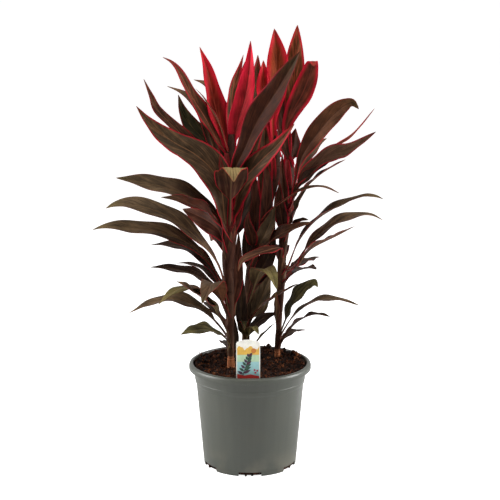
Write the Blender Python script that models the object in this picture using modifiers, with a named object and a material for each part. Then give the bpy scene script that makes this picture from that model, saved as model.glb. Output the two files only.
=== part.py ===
"""A ti plant: three leafy canes with red crowns, rooted in the soil of a nursery pot, and its tag.

The origin is at the bottom centre of the pot, +Z is up and -Y is the plant's front. Lengths are
written in millimetres and become metres where the objects are made.
"""

from math import cos, pi, radians, sin

import bmesh
import bpy
from mathutils import Matrix, Quaternion, Vector, noise
from mathutils.geometry import interpolate_bezier

MM = 0.001
GAP = 0.3
MERGE_DISTANCE = 0.01

# Pot
POT_HEIGHT = 180
POT_WALL = 1.8
POT_FLOOR = 2
BASE_RADIUS = 79.8
WALL_SPREAD = 0.0882
STEP_HEIGHT = 144
COLLAR_FOOT = (94.0, 147.5)
COLLAR_TOP = (96.6, 166)
STEP_THICKNESS = 1
LIP_RADIUS = 105
# The lip's section from the mouth round to its underside: (in from its widest, down from its top)
LIP_SECTION = [
    (7, 1), (6.2, 0), (3.6, 0), (1.2, 1.2), (0, 4), (0, 10), (1.6, 10), (1.7, 3.6), (4, 1.9), (5.4, 3),
]
TURNED_STEPS = 36
NOTCHES = 6
NOTCH_HALF_ANGLE = radians(14)
NOTCH_HEIGHT = 7.5
NOTCH_DEPTH = 12

# Soil
SOIL_LEVEL = 169
SOIL_RINGS = 7
LUMP_HEIGHT = 3.2
LUMP_LIFT = 0.25
LUMP_WIDTH = 17
CRUMB_HEIGHT = 1.9
CRUMB_WIDTH = 8
BANK_RISE = 6
BANK_FOOT = -30
BANK_TOP = 75
BANK_TURN = radians(70)
HEAP_RISE = 8
HEAP_REACH = (74, 92)
HEAP_FRONT = (-70, 0)
HEAP_FADE = 0.7
HOLE_CLEARANCE = 0.5
HOLE_SIDES = 20

# Tag
TAG_WIDTH = 40
TAG_X = -3
TAG_Y = -84
TAG_FOOT = 172
TAG_SHOULDER = 236
TAG_TOP = 243
TAG_THICKNESS = 0.8
TAG_CORNER = 3
ARCH_STEPS = 12
SPIKE_WIDTH = 12
SPIKE_DEPTH = 55
SPIKE_POINT = 11
SLOT_CLEARANCE = 1

# Canes
CANE_DEPTH = 70
CANE_PIECES = 2
NECK = 4

# Leaves
MOST_STATIONS = 9
FEWEST_STATIONS = 6
STATION_SPACING = 21
PETIOLE_SHARE = 0.26
UPRIGHT_PETIOLE_SHARE = 0.12
BASE_HALF_WIDTH = 1.4
BASE_SPREAD = 0.07
UPRIGHT_BASE_SPREAD = 0.22
PETIOLE_NARROWING = 0.4
PETIOLE_THICKNESS = 3.4
PETIOLE_THINNING = 0.5
BLADE_THICKNESS = 0.9
TIP_HALF_WIDTH = 0.4
WIDEST_AT = 0.85
UPRIGHT_WIDEST_AT = 0.7
ROUNDNESS = 0.9
TIP_DRAWING_OUT = 0.15
FOLD = radians(20)
FLAT_BEND = radians(40)
WAVES = 2.6
WAVE_HEIGHT = 0.14
WAVE_LEAD = 0.9

# The viewing point, from which the leaves' places across and up are read
VIEW_DISTANCE = 2600
VIEW_HEIGHT = 960

# Each cane: (x, y, z, radius) up its line, with x and z as they look from the viewing point
LEFT_CANE = [
    (-33, 0, 172, 6.5), (-33, 0, 183, 6.2), (-33, 0, 196, 5), (-33, 0, 240, 5.2), (-34, 0, 300, 6.8),
    (-37, 0, 350, 8.6), (-35, 0, 400, 10.5), (-33, 0, 440, 11.5), (-31, 0, 480, 11.5),
    (-32, 0, 520, 10), (-31, 0, 575, 5),
]
MIDDLE_CANE = [
    (-10, 48, 188, 6.5), (-10, 48, 200, 6), (-8, 48, 220, 5), (-5, 48, 260, 5.2), (-3, 48, 300, 6.2),
    (0, 48, 340, 7), (8, 47, 380, 8), (16, 45, 420, 9), (28, 42, 455, 9.5), (38, 39, 490, 9.5),
    (43, 37, 525, 8.5), (43, 36, 580, 4.5),
]
RIGHT_CANE = [
    (47, 44, 188, 5.2), (47, 44, 200, 5), (48, 44, 220, 4.8), (50, 44, 260, 5.2), (51, 45, 300, 6),
    (53, 47, 340, 6.4), (55, 50, 380, 6.8), (59, 54, 420, 7.8), (64, 58, 460, 9), (66, 60, 505, 8.5),
    (66, 60, 560, 4.5),
]

# Each leaf: where it leaves the cane, the points of its midrib, its width and its roll. The last
# point is the tip. x and z are as they look from the viewing point, and y is the depth. The roll
# turns the upper face of a leaf that heads sideways to the front, in degrees. An upright leaf also
# gives its heading, in degrees from +X towards +Y, and some say how far up they are widest: more is
# further up. One also says how much of it is stalk.
LEFT_LEAVES = [
    (446, [(-40, 12, 480), (-54, 25, 530), (-76, 42, 597), (-91, 54, 627), (-112, 66, 644),
     (-137, 75, 655)], 24, 25),
    (436, [(-41, 14, 472), (-52, 26, 520), (-72, 44, 560), (-98, 56, 589), (-112, 62, 615),
     (-119, 64, 641)], 50, 0, 104),
    (430, [(-45, 2, 466), (-58, 5, 510), (-97, 10, 557), (-131, 18, 591), (-155, 24, 617),
     (-166, 28, 642), (-176, 30, 667)], 25, 40),
    (396, [(-43, -14, 432), (-48, -19, 480), (-63, -20, 514), (-92, -15, 541), (-125, -7, 560),
     (-152, 2, 579), (-173, 4, 600), (-189, 5, 622)], 58, 60, 180),
    (362, [(-46, -8, 398), (-57, -8, 438), (-80, -10, 458), (-112, -12, 474), (-160, -15, 489),
     (-225, -20, 501)], 46, 38, None, 1.05),
    (350, [(-44, -14, 386), (-56, -30, 424), (-76, -55, 443), (-104, -78, 459), (-150, -98, 468)], 42,
     35),
    (350, [(-43, 10, 384), (-52, 22, 411), (-76, 45, 430), (-114, 70, 448)], 42, 50),
    (272, [(-42, -6, 302), (-48, -14, 334), (-61, -26, 363), (-84, -36, 392), (-112, -43, 417),
     (-148, -48, 440), (-190, -53, 454), (-222, -55, 457), (-243, -55, 449)], 46, 35, None, 1.2),
    (272, [(-48, 8, 318), (-72, 12, 358), (-108, 15, 390), (-150, 15, 408), (-200, 14, 415),
     (-240, 10, 418), (-266, 8, 412)], 38, 33, None, 1.1),
    (262, [(-52, 25, 318), (-80, 45, 362), (-116, 60, 383), (-168, 75, 386)], 32, 15, None, 1.15),
    (256, [(-56, -12, 304), (-86, -20, 330), (-125, -30, 343), (-170, -35, 347)], 34, 20),
    (258, [(-52, 40, 312), (-70, 60, 338), (-98, 80, 352), (-128, 95, 354)], 20, 5),
    (250, [(-47, -25, 284), (-59, -60, 313), (-67, -98, 317), (-82, -150, 283)], 42, 0),
    (240, [(-57, -5, 272), (-78, -36, 290), (-101, -66, 307), (-125, -92, 322)], 36, 30),
    (222, [(-50, -15, 256), (-76, -35, 297), (-116, -55, 311), (-157, -75, 281)], 36, 5),
    (236, [(-49, 20, 256), (-66, 45, 276), (-82, 75, 287)], 17, 0),
    (204, [(-38, 10, 222), (-56, 15, 247), (-86, 20, 275), (-140, 25, 291), (-208, 22, 266)], 42, 12),
    (196, [(-36, -14, 214), (-54, -28, 231), (-83, -52, 237), (-119, -80, 228)], 38, 20),
    (190, [(-38, 22, 205), (-45, 50, 216), (-51, 85, 216)], 16, 0),
    (398, [(-34, -20, 438), (-32, -38, 488), (-30, -56, 512), (-29, -76, 517), (-27, -92, 494)], 60, 0,
     None, 0.8, 0.42),
    (408, [(-26, -12, 446), (-14, -15, 492), (20, -35, 532), (45, -50, 556), (74, -60, 592)], 44, 60, 0),
    (436, [(-29, -16, 476), (-25, -18, 515), (-8, -26, 552), (14, -34, 600), (46, -44, 650),
     (82, -56, 712)], 50, 60, 0, 1.35),
    (420, [(-25, 0, 456), (-15, 2, 498), (3, 0, 540), (24, 0, 598)], 42, 45, 0, 1.1),
    (385, [(-18, 20, 425), (-6, 26, 460), (2, 28, 498)], 26, 0, 80),
    (390, [(-27, -6, 424), (-20, -6, 456), (-6, -8, 500)], 24, 0, 80),
    (400, [(-41, -12, 440), (-44, -19, 488), (-51, -18, 540)], 24, 0, -80),
    (414, [(-42, -8, 452), (-54, -11, 504), (-66, -9, 556)], 24, 0, -100),
    (262, [(-24, 18, 310), (-21, 22, 350), (-19, 24, 408)], 22, 0, 95),
    (192, [(-28, 22, 214), (-28, 26, 240), (-30, 28, 268)], 18, 0, 90),
]
LEFT_CROWN = [
    (533, [(-42, 10, 570), (-58, 14, 622), (-69, 15, 676), (-83, 10, 720)], 38, 60, 180),
    (535, [(-31, 12, 590), (-28, 16, 650), (-11, 16, 707)], 27, 0, 120),
    (538, [(-22, 0, 590), (-9, -4, 635), (-1, -6, 685), (1, -6, 730)], 36, 0, 75),
    (531, [(-52, 0, 560), (-74, 2, 601), (-96, 4, 637), (-113, 7, 671), (-127, 10, 693), (-144, 12, 703)],
     32, 40, 180),
    (532, [(-45, 30, 590), (-55, 45, 632), (-68, 60, 656), (-93, 70, 666)], 22, 30),
    (531, [(-51, -20, 592), (-76, -34, 634), (-90, -42, 651)], 13, 30),
    (534, [(-40, 30, 580), (-52, 55, 630), (-66, 72, 674)], 28, 0),
    (540, [(-26, 25, 590), (-15, 50, 645), (-8, 62, 696)], 26, 0),
]
MIDDLE_LEAVES = [
    (378, [(8, 38, 430), (7, 34, 468), (9, 32, 508)], 30, 0, 90),
    (318, [(6, 35, 362), (32, 20, 390), (62, -6, 410), (104, -28, 425)], 34, 40),
    (262, [(8, 20, 316), (18, -20, 340), (34, -60, 340), (46, -92, 308)], 38, 0),
    (232, [(14, 22, 272), (42, 5, 294), (82, -10, 318)], 26, 15),
    (206, [(-3, 12, 228), (1, -14, 241), (8, -32, 241), (15, -46, 228)], 25, 0),
    (200, [(2, 40, 234), (18, 34, 254), (46, 24, 267)], 22, 60),
    (200, [(-12, 18, 234), (-12, 0, 250), (-10, -16, 250), (-9, -30, 236)], 20, 0),
    (268, [(10, 75, 318), (25, 110, 335)], 26, 0),
    (396, [(24, 22, 436), (52, 8, 458), (85, -6, 479), (118, -20, 487), (150, -30, 475)], 16, 15),
    (378, [(24, 30, 424), (29, 17, 490), (24, 8, 548)], 24, 0, 90),
    (386, [(25, 30, 432), (24, 22, 515), (24, 21, 604)], 30, 0, 100, 1.3),
    (366, [(2, 20, 405), (-4, 2, 425), (-2, -10, 444)], 22, 0, 90),
    (360, [(22, 30, 398), (35, 22, 426), (44, 18, 458)], 30, 0, 60),
    (218, [(-14, 36, 250), (-15, 36, 285), (-12, 36, 328)], 21, 0, 100),
    (292, [(12, 56, 330), (28, 60, 360), (42, 62, 396)], 36, 0, 80),
    (240, [(12, 44, 276), (23, 40, 302), (35, 36, 336)], 36, 0, 75),
    (196, [(4, 40, 208), (22, 30, 228), (44, 16, 250)], 12, 0),
    (300, [(20, 40, 345), (34, 30, 375), (42, 26, 420)], 28, 0, 80),
    (328, [(-3, 40, 360), (-6, 36, 390), (-7, 34, 424)], 20, 0, 95),
]
MIDDLE_CROWN = [
    (530, [(38, 30, 600), (44, 29, 660), (44, 29, 705), (40, 28, 750)], 43, 0, 100, 1.5),
    (534, [(27, 28, 620), (22, 22, 660), (22, 20, 698)], 31, 0, 105, 1.4),
    (524, [(26, 52, 600), (12, 62, 655), (13, 66, 707)], 32, 0, 100, 1),
    (528, [(38, 66, 590), (36, 90, 635), (44, 100, 675)], 30, 0),
]
RIGHT_LEAVES = [
    (432, [(70, 52, 462), (78, 46, 503), (88, 46, 540), (115, 48, 580), (143, 50, 612), (168, 50, 628),
     (181, 46, 617)], 41, -75, None, 1.3),
    (430, [(71, 62, 464), (92, 72, 503), (129, 85, 542), (165, 93, 568), (188, 98, 592), (207, 100, 618)],
     15, 0),
    (424, [(69, 44, 458), (85, 28, 497), (109, 14, 521), (134, 4, 539), (162, -4, 548), (186, -8, 561),
     (210, -12, 579)], 37, 50),
    (402, [(69, 38, 436), (86, 18, 474), (107, 4, 497), (127, -12, 513), (160, -35, 532)], 25, 20),
    (396, [(72, 22, 432), (82, 8, 458), (95, -2, 482)], 30, 60),
    (420, [(69, 44, 452), (81, 26, 482), (98, 10, 504), (132, -8, 527)], 32, 50),
    (316, [(66, 30, 352), (82, 20, 392), (110, 8, 427), (146, -2, 451), (180, -12, 466), (205, -22, 471),
     (224, -28, 465)], 35, 15),
    (326, [(77, 50, 354), (101, 56, 387), (130, 62, 414), (162, 68, 431), (196, 74, 439), (224, 78, 429)],
     35, 12),
    (332, [(76, 22, 346), (103, 5, 378), (148, -22, 402), (177, -38, 418)], 32, 0),
    (312, [(76, 78, 348), (98, 115, 358), (119, 145, 365)], 30, 0),
    (304, [(76, 10, 338), (98, -45, 345), (113, -90, 343)], 30, 0),
    (348, [(53, 12, 380), (32, -26, 377), (4, -44, 368), (-14, -54, 358), (-20, -58, 340)], 24, 15),
    (210, [(61, 20, 254), (72, 6, 281), (92, -10, 307), (110, -24, 320), (116, -36, 312)], 40, 60),
    (202, [(57, 36, 235), (75, 30, 262), (101, 22, 282), (136, 15, 292), (187, 5, 280)], 30, 6),
    (194, [(64, 18, 232), (83, 4, 252), (110, -20, 264), (137, -40, 260)], 29, 8),
    (186, [(57, 58, 220), (72, 78, 233), (98, 102, 236)], 20, 0),
    (215, [(45, 26, 252), (45, -6, 282), (43, -22, 303)], 14, 30),
    (392, [(54, 36, 430), (49, 36, 462), (50, 36, 494)], 24, 0, 90),
    (424, [(58, 50, 464), (54, 50, 505), (54, 51, 542)], 19, 0, 95),
    (458, [(92, 95, 530), (112, 120, 556), (128, 130, 568)], 30, 10),
    (372, [(66, 30, 408), (76, 18, 424), (88, 10, 430), (99, 6, 429)], 20, 40),
]
RIGHT_CROWN = [
    (512, [(62, 62, 570), (71, 60, 640), (75, 58, 705), (78, 56, 756)], 40, 0, 85, 1.4),
    (510, [(60, 44, 575), (69, 38, 609), (87, 31, 643), (99, 24, 675), (104, 12, 697), (106, -4, 688)],
     40, 0, 75, 1.5),
    (514, [(71, 70, 545), (74, 72, 563), (76, 74, 585)], 32, 0, 70),
    (511, [(59, 46, 560), (54, 45, 604), (55, 45, 645)], 25, 0, 95),
]

# The leaves that face away, which the front ones hide: the lowest and highest root, how many, and
# the range of their headings, in degrees from +X towards +Y
LEFT_BACK = (215, 460, 7, 84, 108)
MIDDLE_BACK = (225, 490, 5, 74, 92)
RIGHT_BACK = (262, 395, 4, 80, 92)

# Each plant: its name, its cane, the height of its crown, and its leaves
PLANTS = [
    ("left", LEFT_CANE, 520, LEFT_LEAVES, LEFT_CROWN, LEFT_BACK),
    ("middle", MIDDLE_CANE, 514, MIDDLE_LEAVES, MIDDLE_CROWN, MIDDLE_BACK),
    ("right", RIGHT_CANE, 496, RIGHT_LEAVES, RIGHT_CROWN, RIGHT_BACK),
]
BACK_LENGTH = 150
BACK_WIDTH = 30
BACK_LENGTH_SPREAD = 0.15
BACK_RISE = [(0.3, 0.28), (0.65, 0.36), (1, 0.2)]
GOLDEN_SHARE = 0.618

GREEN_GREY_PLASTIC = (0.085, 0.086, 0.068)
SOIL_BROWN = (0.030, 0.011, 0.006)
TAG_CREAM = (0.80, 0.78, 0.66)
LEAF_BROWN = (0.060, 0.034, 0.022)
YOUNG_RED = (0.42, 0.012, 0.035)
POT_ROUGHNESS = 0.45
SOIL_ROUGHNESS = 0.95
TAG_ROUGHNESS = 0.4
LEAF_ROUGHNESS = 0.45
YOUNG_ROUGHNESS = 0.4
SHARP_EDGE = radians(40)


def wall_radius(height):
    """The outer radius of the pot's wall below its step."""
    return BASE_RADIUS + WALL_SPREAD * height


# The corners of the pot's inner wall, upwards from the floor, as (radius, height)
POT_HOLLOW = [
    (wall_radius(POT_FLOOR) - POT_WALL, POT_FLOOR),
    (wall_radius(STEP_HEIGHT) - POT_WALL, STEP_HEIGHT + STEP_THICKNESS),
    (COLLAR_FOOT[0] - POT_WALL, COLLAR_FOOT[1] + STEP_THICKNESS),
    (COLLAR_TOP[0] - POT_WALL, COLLAR_TOP[1]),
]


# Materials and meshes

def material(name, colour, roughness):
    made = bpy.data.materials.new(name)
    made.use_nodes = True
    shader = made.node_tree.nodes["Principled BSDF"]
    shader.inputs["Base Color"].default_value = (*colour, 1)
    shader.inputs["Roughness"].default_value = roughness
    shader.inputs["Metallic"].default_value = 0
    return made


def finish(thing, surface):
    """Gives a part its material and smooth shading, and puts it with the others."""
    thing.data.materials.clear()
    thing.data.materials.append(surface)
    thing.data.shade_smooth()
    thing.data.set_sharp_from_angle(angle=SHARP_EDGE)
    if thing.name not in parts.objects:
        parts.objects.link(thing)


def evaluated_mesh(thing):
    """A new mesh of what a part's curve or modifiers make."""
    evaluated = thing.evaluated_get(bpy.context.evaluated_depsgraph_get())
    return bpy.data.meshes.new_from_object(evaluated)


def object_of(name, shape):
    """An object of a bmesh, its faces turned outwards."""
    bmesh.ops.recalc_face_normals(shape, faces=shape.faces)
    mesh = bpy.data.meshes.new(name)
    shape.to_mesh(mesh)
    shape.free()
    return bpy.data.objects.new(name, mesh)


def solid_of(name, curve, place=Matrix()):
    """The closed solid of a curve's data, with its caps welded, as an object."""
    drawn = bpy.data.objects.new(name + "_curve", curve)
    drawn.matrix_world = place
    parts.objects.link(drawn)
    shape = bmesh.new()
    shape.from_mesh(evaluated_mesh(drawn))
    bmesh.ops.remove_doubles(shape, verts=shape.verts, dist=MERGE_DISTANCE * MM)
    solid = object_of(name, shape)
    solid.matrix_world = place
    bpy.data.objects.remove(drawn)
    bpy.data.curves.remove(curve)
    parts.objects.link(solid)
    return solid


def tube(name, path, radii):
    """A closed round tube along a path."""
    curve = bpy.data.curves.new(name, "CURVE")
    curve.dimensions = "3D"
    curve.bevel_depth = MM
    curve.bevel_resolution = 3
    curve.use_fill_caps = True
    spline = curve.splines.new("POLY")
    spline.points.add(len(path) - 1)
    for point, spot, radius in zip(spline.points, path, radii):
        point.co = (*(spot * MM), 1)
        point.radius = radius
    return solid_of(name, curve)


def turned(name, profile):
    """A body of revolution round Z from (radius, height) points, which run down its outer side."""
    mesh = bpy.data.meshes.new(name)
    vertices = [(radius * MM, 0, height * MM) for radius, height in profile]
    mesh.from_pydata(vertices, [(i, i + 1) for i in range(len(vertices) - 1)], [])
    thing = bpy.data.objects.new(name, mesh)
    screw = thing.modifiers.new("screw", "SCREW")
    screw.steps = TURNED_STEPS
    screw.render_steps = TURNED_STEPS
    screw.use_merge_vertices = True
    screw.merge_threshold = MERGE_DISTANCE * MM
    parts.objects.link(thing)
    return thing


def box(name, size, centre, turn=0):
    """A box of a size round a centre, turned about Z."""
    shape = bmesh.new()
    bmesh.ops.create_cube(shape, size=MM)
    bmesh.ops.scale(shape, vec=size, verts=shape.verts)
    bmesh.ops.translate(shape, vec=Vector(centre) * MM, verts=shape.verts)
    bmesh.ops.rotate(shape, matrix=Matrix.Rotation(turn, 3, "Z"), verts=shape.verts)
    return object_of(name, shape)


def rod(name, radius, low, high, centre):
    """An upright cylinder."""
    shape = bmesh.new()
    bmesh.ops.create_cone(shape, cap_ends=True, segments=HOLE_SIDES, radius1=radius * MM,
                          radius2=radius * MM, depth=(high - low) * MM)
    middle = Vector((centre.x, centre.y, (low + high) / 2)) * MM
    bmesh.ops.translate(shape, vec=middle, verts=shape.verts)
    return object_of(name, shape)


def cut(thing, cutter):
    """Takes a cutter out of a part."""
    cutters.objects.link(cutter)
    cutter.hide_render = True
    cutter.display_type = "WIRE"
    difference = thing.modifiers.new(cutter.name, "BOOLEAN")
    difference.operation = "DIFFERENCE"
    difference.object = cutter
    difference.solver = "EXACT"


def fuse(name, core, leaves, surface):
    """One solid of a core and the leaves that grow from it."""
    group = collection(name + "_leaves")
    for leaf in leaves:
        group.objects.link(leaf)
    union = core.modifiers.new("union", "BOOLEAN")
    union.operation = "UNION"
    union.operand_type = "COLLECTION"
    union.collection = group
    union.solver = "EXACT"
    whole = bpy.data.objects.new(name, evaluated_mesh(core))
    for used in [core, *leaves]:
        bpy.data.objects.remove(used)
    bpy.data.collections.remove(group)
    finish(whole, surface)


def collection(name):
    group = bpy.data.collections.new(name)
    bpy.context.scene.collection.children.link(group)
    return group


# Lines in space

def in_space(seen_x, depth, seen_z):
    """The point at a depth that looks to be at seen_x and seen_z on the plane through the axis."""
    share = depth / VIEW_DISTANCE
    return Vector((seen_x * (1 + share), depth, seen_z + (seen_z - VIEW_HEIGHT) * share))


def smooth_path(points, pieces=6):
    """Points along a smooth curve through the given ones."""
    ends = [2 * points[0] - points[1], *points, 2 * points[-1] - points[-2]]
    path = [points[0]]
    for before, start, end, after in zip(ends, ends[1:], ends[2:], ends[3:]):
        first_handle = start + (end - before) / 6
        second_handle = end - (after - start) / 6
        path += interpolate_bezier(start, first_handle, second_handle, end, pieces + 1)[1:]
    return path


def length_of(path):
    return sum((end - start).length for start, end in zip(path, path[1:]))


def evenly(path, count):
    """count points at equal distances along a path, both ends among them."""
    spacing = length_of(path) / (count - 1)
    spots = [path[0]]
    gone = 0
    for start, end in zip(path, path[1:]):
        step = (end - start).length
        while len(spots) < count - 1 and spacing * len(spots) <= gone + step:
            spots.append(start.lerp(end, (spacing * len(spots) - gone) / step))
        gone += step
    return spots + [path[-1]]


def cane_path(cane):
    """The smooth line of a cane, which runs straight down into the soil."""
    path = smooth_path([in_space(*row[:3]) for row in cane], CANE_PIECES)
    foot = path[0].copy()
    foot.z = SOIL_LEVEL - CANE_DEPTH
    return [foot, *path]


def spot_at(path, height):
    """The point of a cane's line at a height."""
    for start, end in zip(path, path[1:]):
        if end.z >= height:
            return start.lerp(end, (height - start.z) / (end.z - start.z))
    return path[-1]


def radius_at(cane, height):
    """A cane's radius at a height."""
    rows = [(in_space(*row[:3]).z, row[3]) for row in cane]
    for (low, low_radius), (high, high_radius) in zip(rows, rows[1:]):
        if height < high:
            share = max(0, (height - low) / (high - low))
            return low_radius + (high_radius - low_radius) * share
    return rows[-1][1]


# Leaves

def blade_half_width(share, width, widest_at):
    """Half the blade's width at a share of its length: a lance shape with a drawn-out tip."""
    bow = sin(pi * share ** widest_at) ** ROUNDNESS
    return TIP_HALF_WIDTH + width / 2 * bow * (1 - TIP_DRAWING_OUT * share)


def leaf_mesh(root, points, width, roll, heading=None, widest_at=None, stalk_share=None):
    """The vertices and triangles of a leaf from inside its cane to its tip."""
    path = smooth_path([root, *points])
    stations = int(min(MOST_STATIONS, max(FEWEST_STATIONS, length_of(path) / STATION_SPACING)))
    spine = evenly(path, stations)
    away = spine[-1] - root
    petiole_share, base_spread, usual_widest = PETIOLE_SHARE, BASE_SPREAD, WIDEST_AT
    if heading is not None:
        away = Vector((cos(radians(heading)), sin(radians(heading)), 0))
        petiole_share, base_spread = UPRIGHT_PETIOLE_SHARE, UPRIGHT_BASE_SPREAD
        usual_widest = UPRIGHT_WIDEST_AT
    widest_at = widest_at or usual_widest
    petiole_share = stalk_share or petiole_share
    across = Vector((away.y, -away.x, 0)).normalized()
    turn = radians(roll) if away.x > 0 else -radians(roll)
    vertices = []
    for number, spot in enumerate(spine):
        share = number / (stations - 1)
        stalk = min(1, share / petiole_share)
        blade_share = max(0, (share - petiole_share) / (1 - petiole_share))
        behind = spot - spine[max(number - 1, 0)]
        ahead = spine[min(number + 1, stations - 1)] - spot
        along = (behind + ahead).normalized()
        bend = behind.angle(ahead) if behind.length and ahead.length else 0
        fold = FOLD * (1 - min(1, bend / FLAT_BEND))
        side = (across - along * across.dot(along)).normalized()
        side.rotate(Quaternion(along, turn * stalk))
        up = side.cross(along)
        stalk_half = BASE_HALF_WIDTH + width * base_spread * (1 - PETIOLE_NARROWING * stalk)
        blade_half = blade_half_width(blade_share, width, widest_at) if blade_share else 0
        half = max(stalk_half * (1 - blade_share), blade_half)
        thick = max(PETIOLE_THICKNESS * (1 - PETIOLE_THINNING * share / petiole_share), BLADE_THICKNESS)
        for end in (-1, 1):
            wave = sin(2 * pi * WAVES * blade_share + end * WAVE_LEAD) if blade_share else 0
            lift = half * (sin(fold) + wave * WAVE_HEIGHT)
            edge = spot + side * (end * half * cos(fold)) + up * lift
            vertices += [edge + up * (thick / 2), edge - up * (thick / 2)]
        vertices += [spot + up * (thick / 2), spot - up * (thick / 2)]
    return vertices, leaf_triangles(stations)


def leaf_triangles(stations):
    """Triangles between the sections, split alike on both faces, and over both ends."""
    left, left_under, right, right_under, rib, rib_under = range(6)
    ring = [left, rib, right, right_under, rib_under, left_under]
    underside = [(right_under, rib_under), (rib_under, left_under)]
    triangles = []
    for here in range(0, (stations - 1) * 6, 6):
        there = here + 6
        for a, b in zip(ring, ring[1:] + ring[:1]):
            if (a, b) in underside:
                triangles += [(here + a, here + b, there + a), (here + b, there + b, there + a)]
            else:
                triangles += [(here + a, here + b, there + b), (here + a, there + b, there + a)]
    for end in (0, (stations - 1) * 6):
        for a, b, c, d in [(left, rib, rib_under, left_under), (rib, right, right_under, rib_under)]:
            triangles += [(end + a, end + b, end + c), (end + a, end + c, end + d)]
    return triangles


def leaf_object(name, *leaf):
    vertices, triangles = leaf_mesh(*leaf)
    mesh = bpy.data.meshes.new(name)
    mesh.from_pydata([vertex * MM for vertex in vertices], [], triangles)
    shape = bmesh.new()
    shape.from_mesh(mesh)
    bpy.data.meshes.remove(mesh)
    return object_of(name, shape)


def rooted(path, rows):
    """The leaves of a table, as leaf arguments, each rooted in its cane's line."""
    for height, points, *form in rows:
        yield spot_at(path, height), [in_space(*point) for point in points], *form


def back_leaves(path, lowest, highest, count, first_turn, last_turn):
    """Leaves that arch away from the front, spread by the golden share, as leaf arguments."""
    for number in range(count):
        root = spot_at(path, lowest + (highest - lowest) * number / (count - 1))
        turn = radians(first_turn + (last_turn - first_turn) * (number * GOLDEN_SHARE % 1))
        length = BACK_LENGTH * (1 + BACK_LENGTH_SPREAD * sin(2 * pi * GOLDEN_SHARE * number))
        heading = Vector((cos(turn), sin(turn), 0))
        points = [root + (heading * out + Vector((0, 0, rise))) * length for out, rise in BACK_RISE]
        yield root, points, BACK_WIDTH, 0


# Sub-parts

def pot():
    """The thin pot: a drawn-in wall with a step, a collar, a lip rolled out and down, and notches."""
    lip = [(LIP_RADIUS - inward, POT_HEIGHT - down) for inward, down in LIP_SECTION]
    outside = [COLLAR_TOP, COLLAR_FOOT, (wall_radius(STEP_HEIGHT), STEP_HEIGHT), (BASE_RADIUS, 0)]
    body = turned("pot", [(0, POT_FLOOR), *POT_HOLLOW, *lip, *outside, (0, 0)])
    size = (2 * NOTCH_DEPTH, 2 * BASE_RADIUS * sin(NOTCH_HALF_ANGLE), 2 * NOTCH_HEIGHT)
    for number in range(NOTCHES):
        turn = 2 * pi * number / NOTCHES - pi / 2
        cut(body, box(f"notch_{number + 1}", size, (BASE_RADIUS, 0, 0), turn))
    finish(body, material("pot_plastic", GREEN_GREY_PLASTIC, POT_ROUGHNESS))


def ease(low, high, value):
    """0 below low, 1 above high, and smooth between."""
    share = min(1, max(0, (value - low) / (high - low)))
    return share * share * (3 - 2 * share)


def bank(spot):
    """How far the soil rises over a point: towards the back, and up the wall at the sides and back."""
    back = ease(BANK_FOOT, BANK_TOP, spot.x * cos(BANK_TURN) + spot.y * sin(BANK_TURN))
    heap = ease(*HEAP_REACH, spot.length) * ease(*HEAP_FRONT, spot.y)
    return BANK_RISE * back + HEAP_RISE * heap * (1 - HEAP_FADE * back)


def soil():
    """The soil that fills the pot, lumpy on top, with a plain hole for each cane and the tag."""
    side = [(radius - GAP, height + GAP) for radius, height in reversed(POT_HOLLOW)]
    edge = side.pop(0)[0]
    rings = [(edge * number / SOIL_RINGS, SOIL_LEVEL) for number in range(SOIL_RINGS + 1)]
    body = turned("soil", [*rings, *side, (0, POT_FLOOR + GAP)])
    body.data = evaluated_mesh(body)
    body.modifiers.clear()
    for vertex in body.data.vertices:
        spot = Vector(vertex.co[:2]).to_3d() / MM
        if vertex.co.z > (SOIL_LEVEL - 1) * MM:
            lump = (noise.noise(spot / LUMP_WIDTH) + LUMP_LIFT) * LUMP_HEIGHT
            crumb = noise.noise(spot / CRUMB_WIDTH) * CRUMB_HEIGHT
            vertex.co.z += (lump + crumb + bank(spot)) * MM
    for name, cane, *_ in PLANTS:
        foot, radius = cane_path(cane)[0], cane[0][3] + HOLE_CLEARANCE
        cut(body, rod(f"{name}_cane_hole", radius, foot.z - GAP, POT_HEIGHT, foot))
    slot_foot = TAG_FOOT - SPIKE_DEPTH - SLOT_CLEARANCE
    slot = (SPIKE_WIDTH + SLOT_CLEARANCE, TAG_THICKNESS + 2 * GAP, POT_HEIGHT - slot_foot)
    cut(body, box("tag_slot", slot, (TAG_X, TAG_Y, (POT_HEIGHT + slot_foot) / 2)))
    finish(body, material("soil_brown", SOIL_BROWN, SOIL_ROUGHNESS))


def tag():
    """The flat plastic tag: an arched board over a pointed spike."""
    half, spike = TAG_WIDTH / 2, SPIKE_WIDTH / 2
    turns = [pi * step / ARCH_STEPS for step in range(ARCH_STEPS + 1)]
    arch = [(half * cos(turn), TAG_SHOULDER + (TAG_TOP - TAG_SHOULDER) * sin(turn)) for turn in turns]
    low = TAG_FOOT - SPIKE_DEPTH
    outline = [
        (0, low), (spike, low + SPIKE_POINT), (spike, TAG_FOOT), (half - TAG_CORNER, TAG_FOOT),
        (half, TAG_FOOT + TAG_CORNER), *arch, (-half, TAG_FOOT + TAG_CORNER),
        (TAG_CORNER - half, TAG_FOOT), (-spike, TAG_FOOT), (-spike, low + SPIKE_POINT),
    ]
    curve = bpy.data.curves.new("tag", "CURVE")
    curve.dimensions = "2D"
    curve.fill_mode = "BOTH"
    curve.extrude = TAG_THICKNESS / 2 * MM
    spline = curve.splines.new("POLY")
    spline.points.add(len(outline) - 1)
    spline.use_cyclic_u = True
    for point, (x, height) in zip(spline.points, outline):
        point.co = (x * MM, height * MM, 0, 1)
    upright = Matrix.Rotation(pi / 2, 4, "X")
    board = solid_of("plant_tag", curve, Matrix.Translation(Vector((TAG_X, TAG_Y, 0)) * MM) @ upright)
    finish(board, material("tag_cream", TAG_CREAM, TAG_ROUGHNESS))


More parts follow.
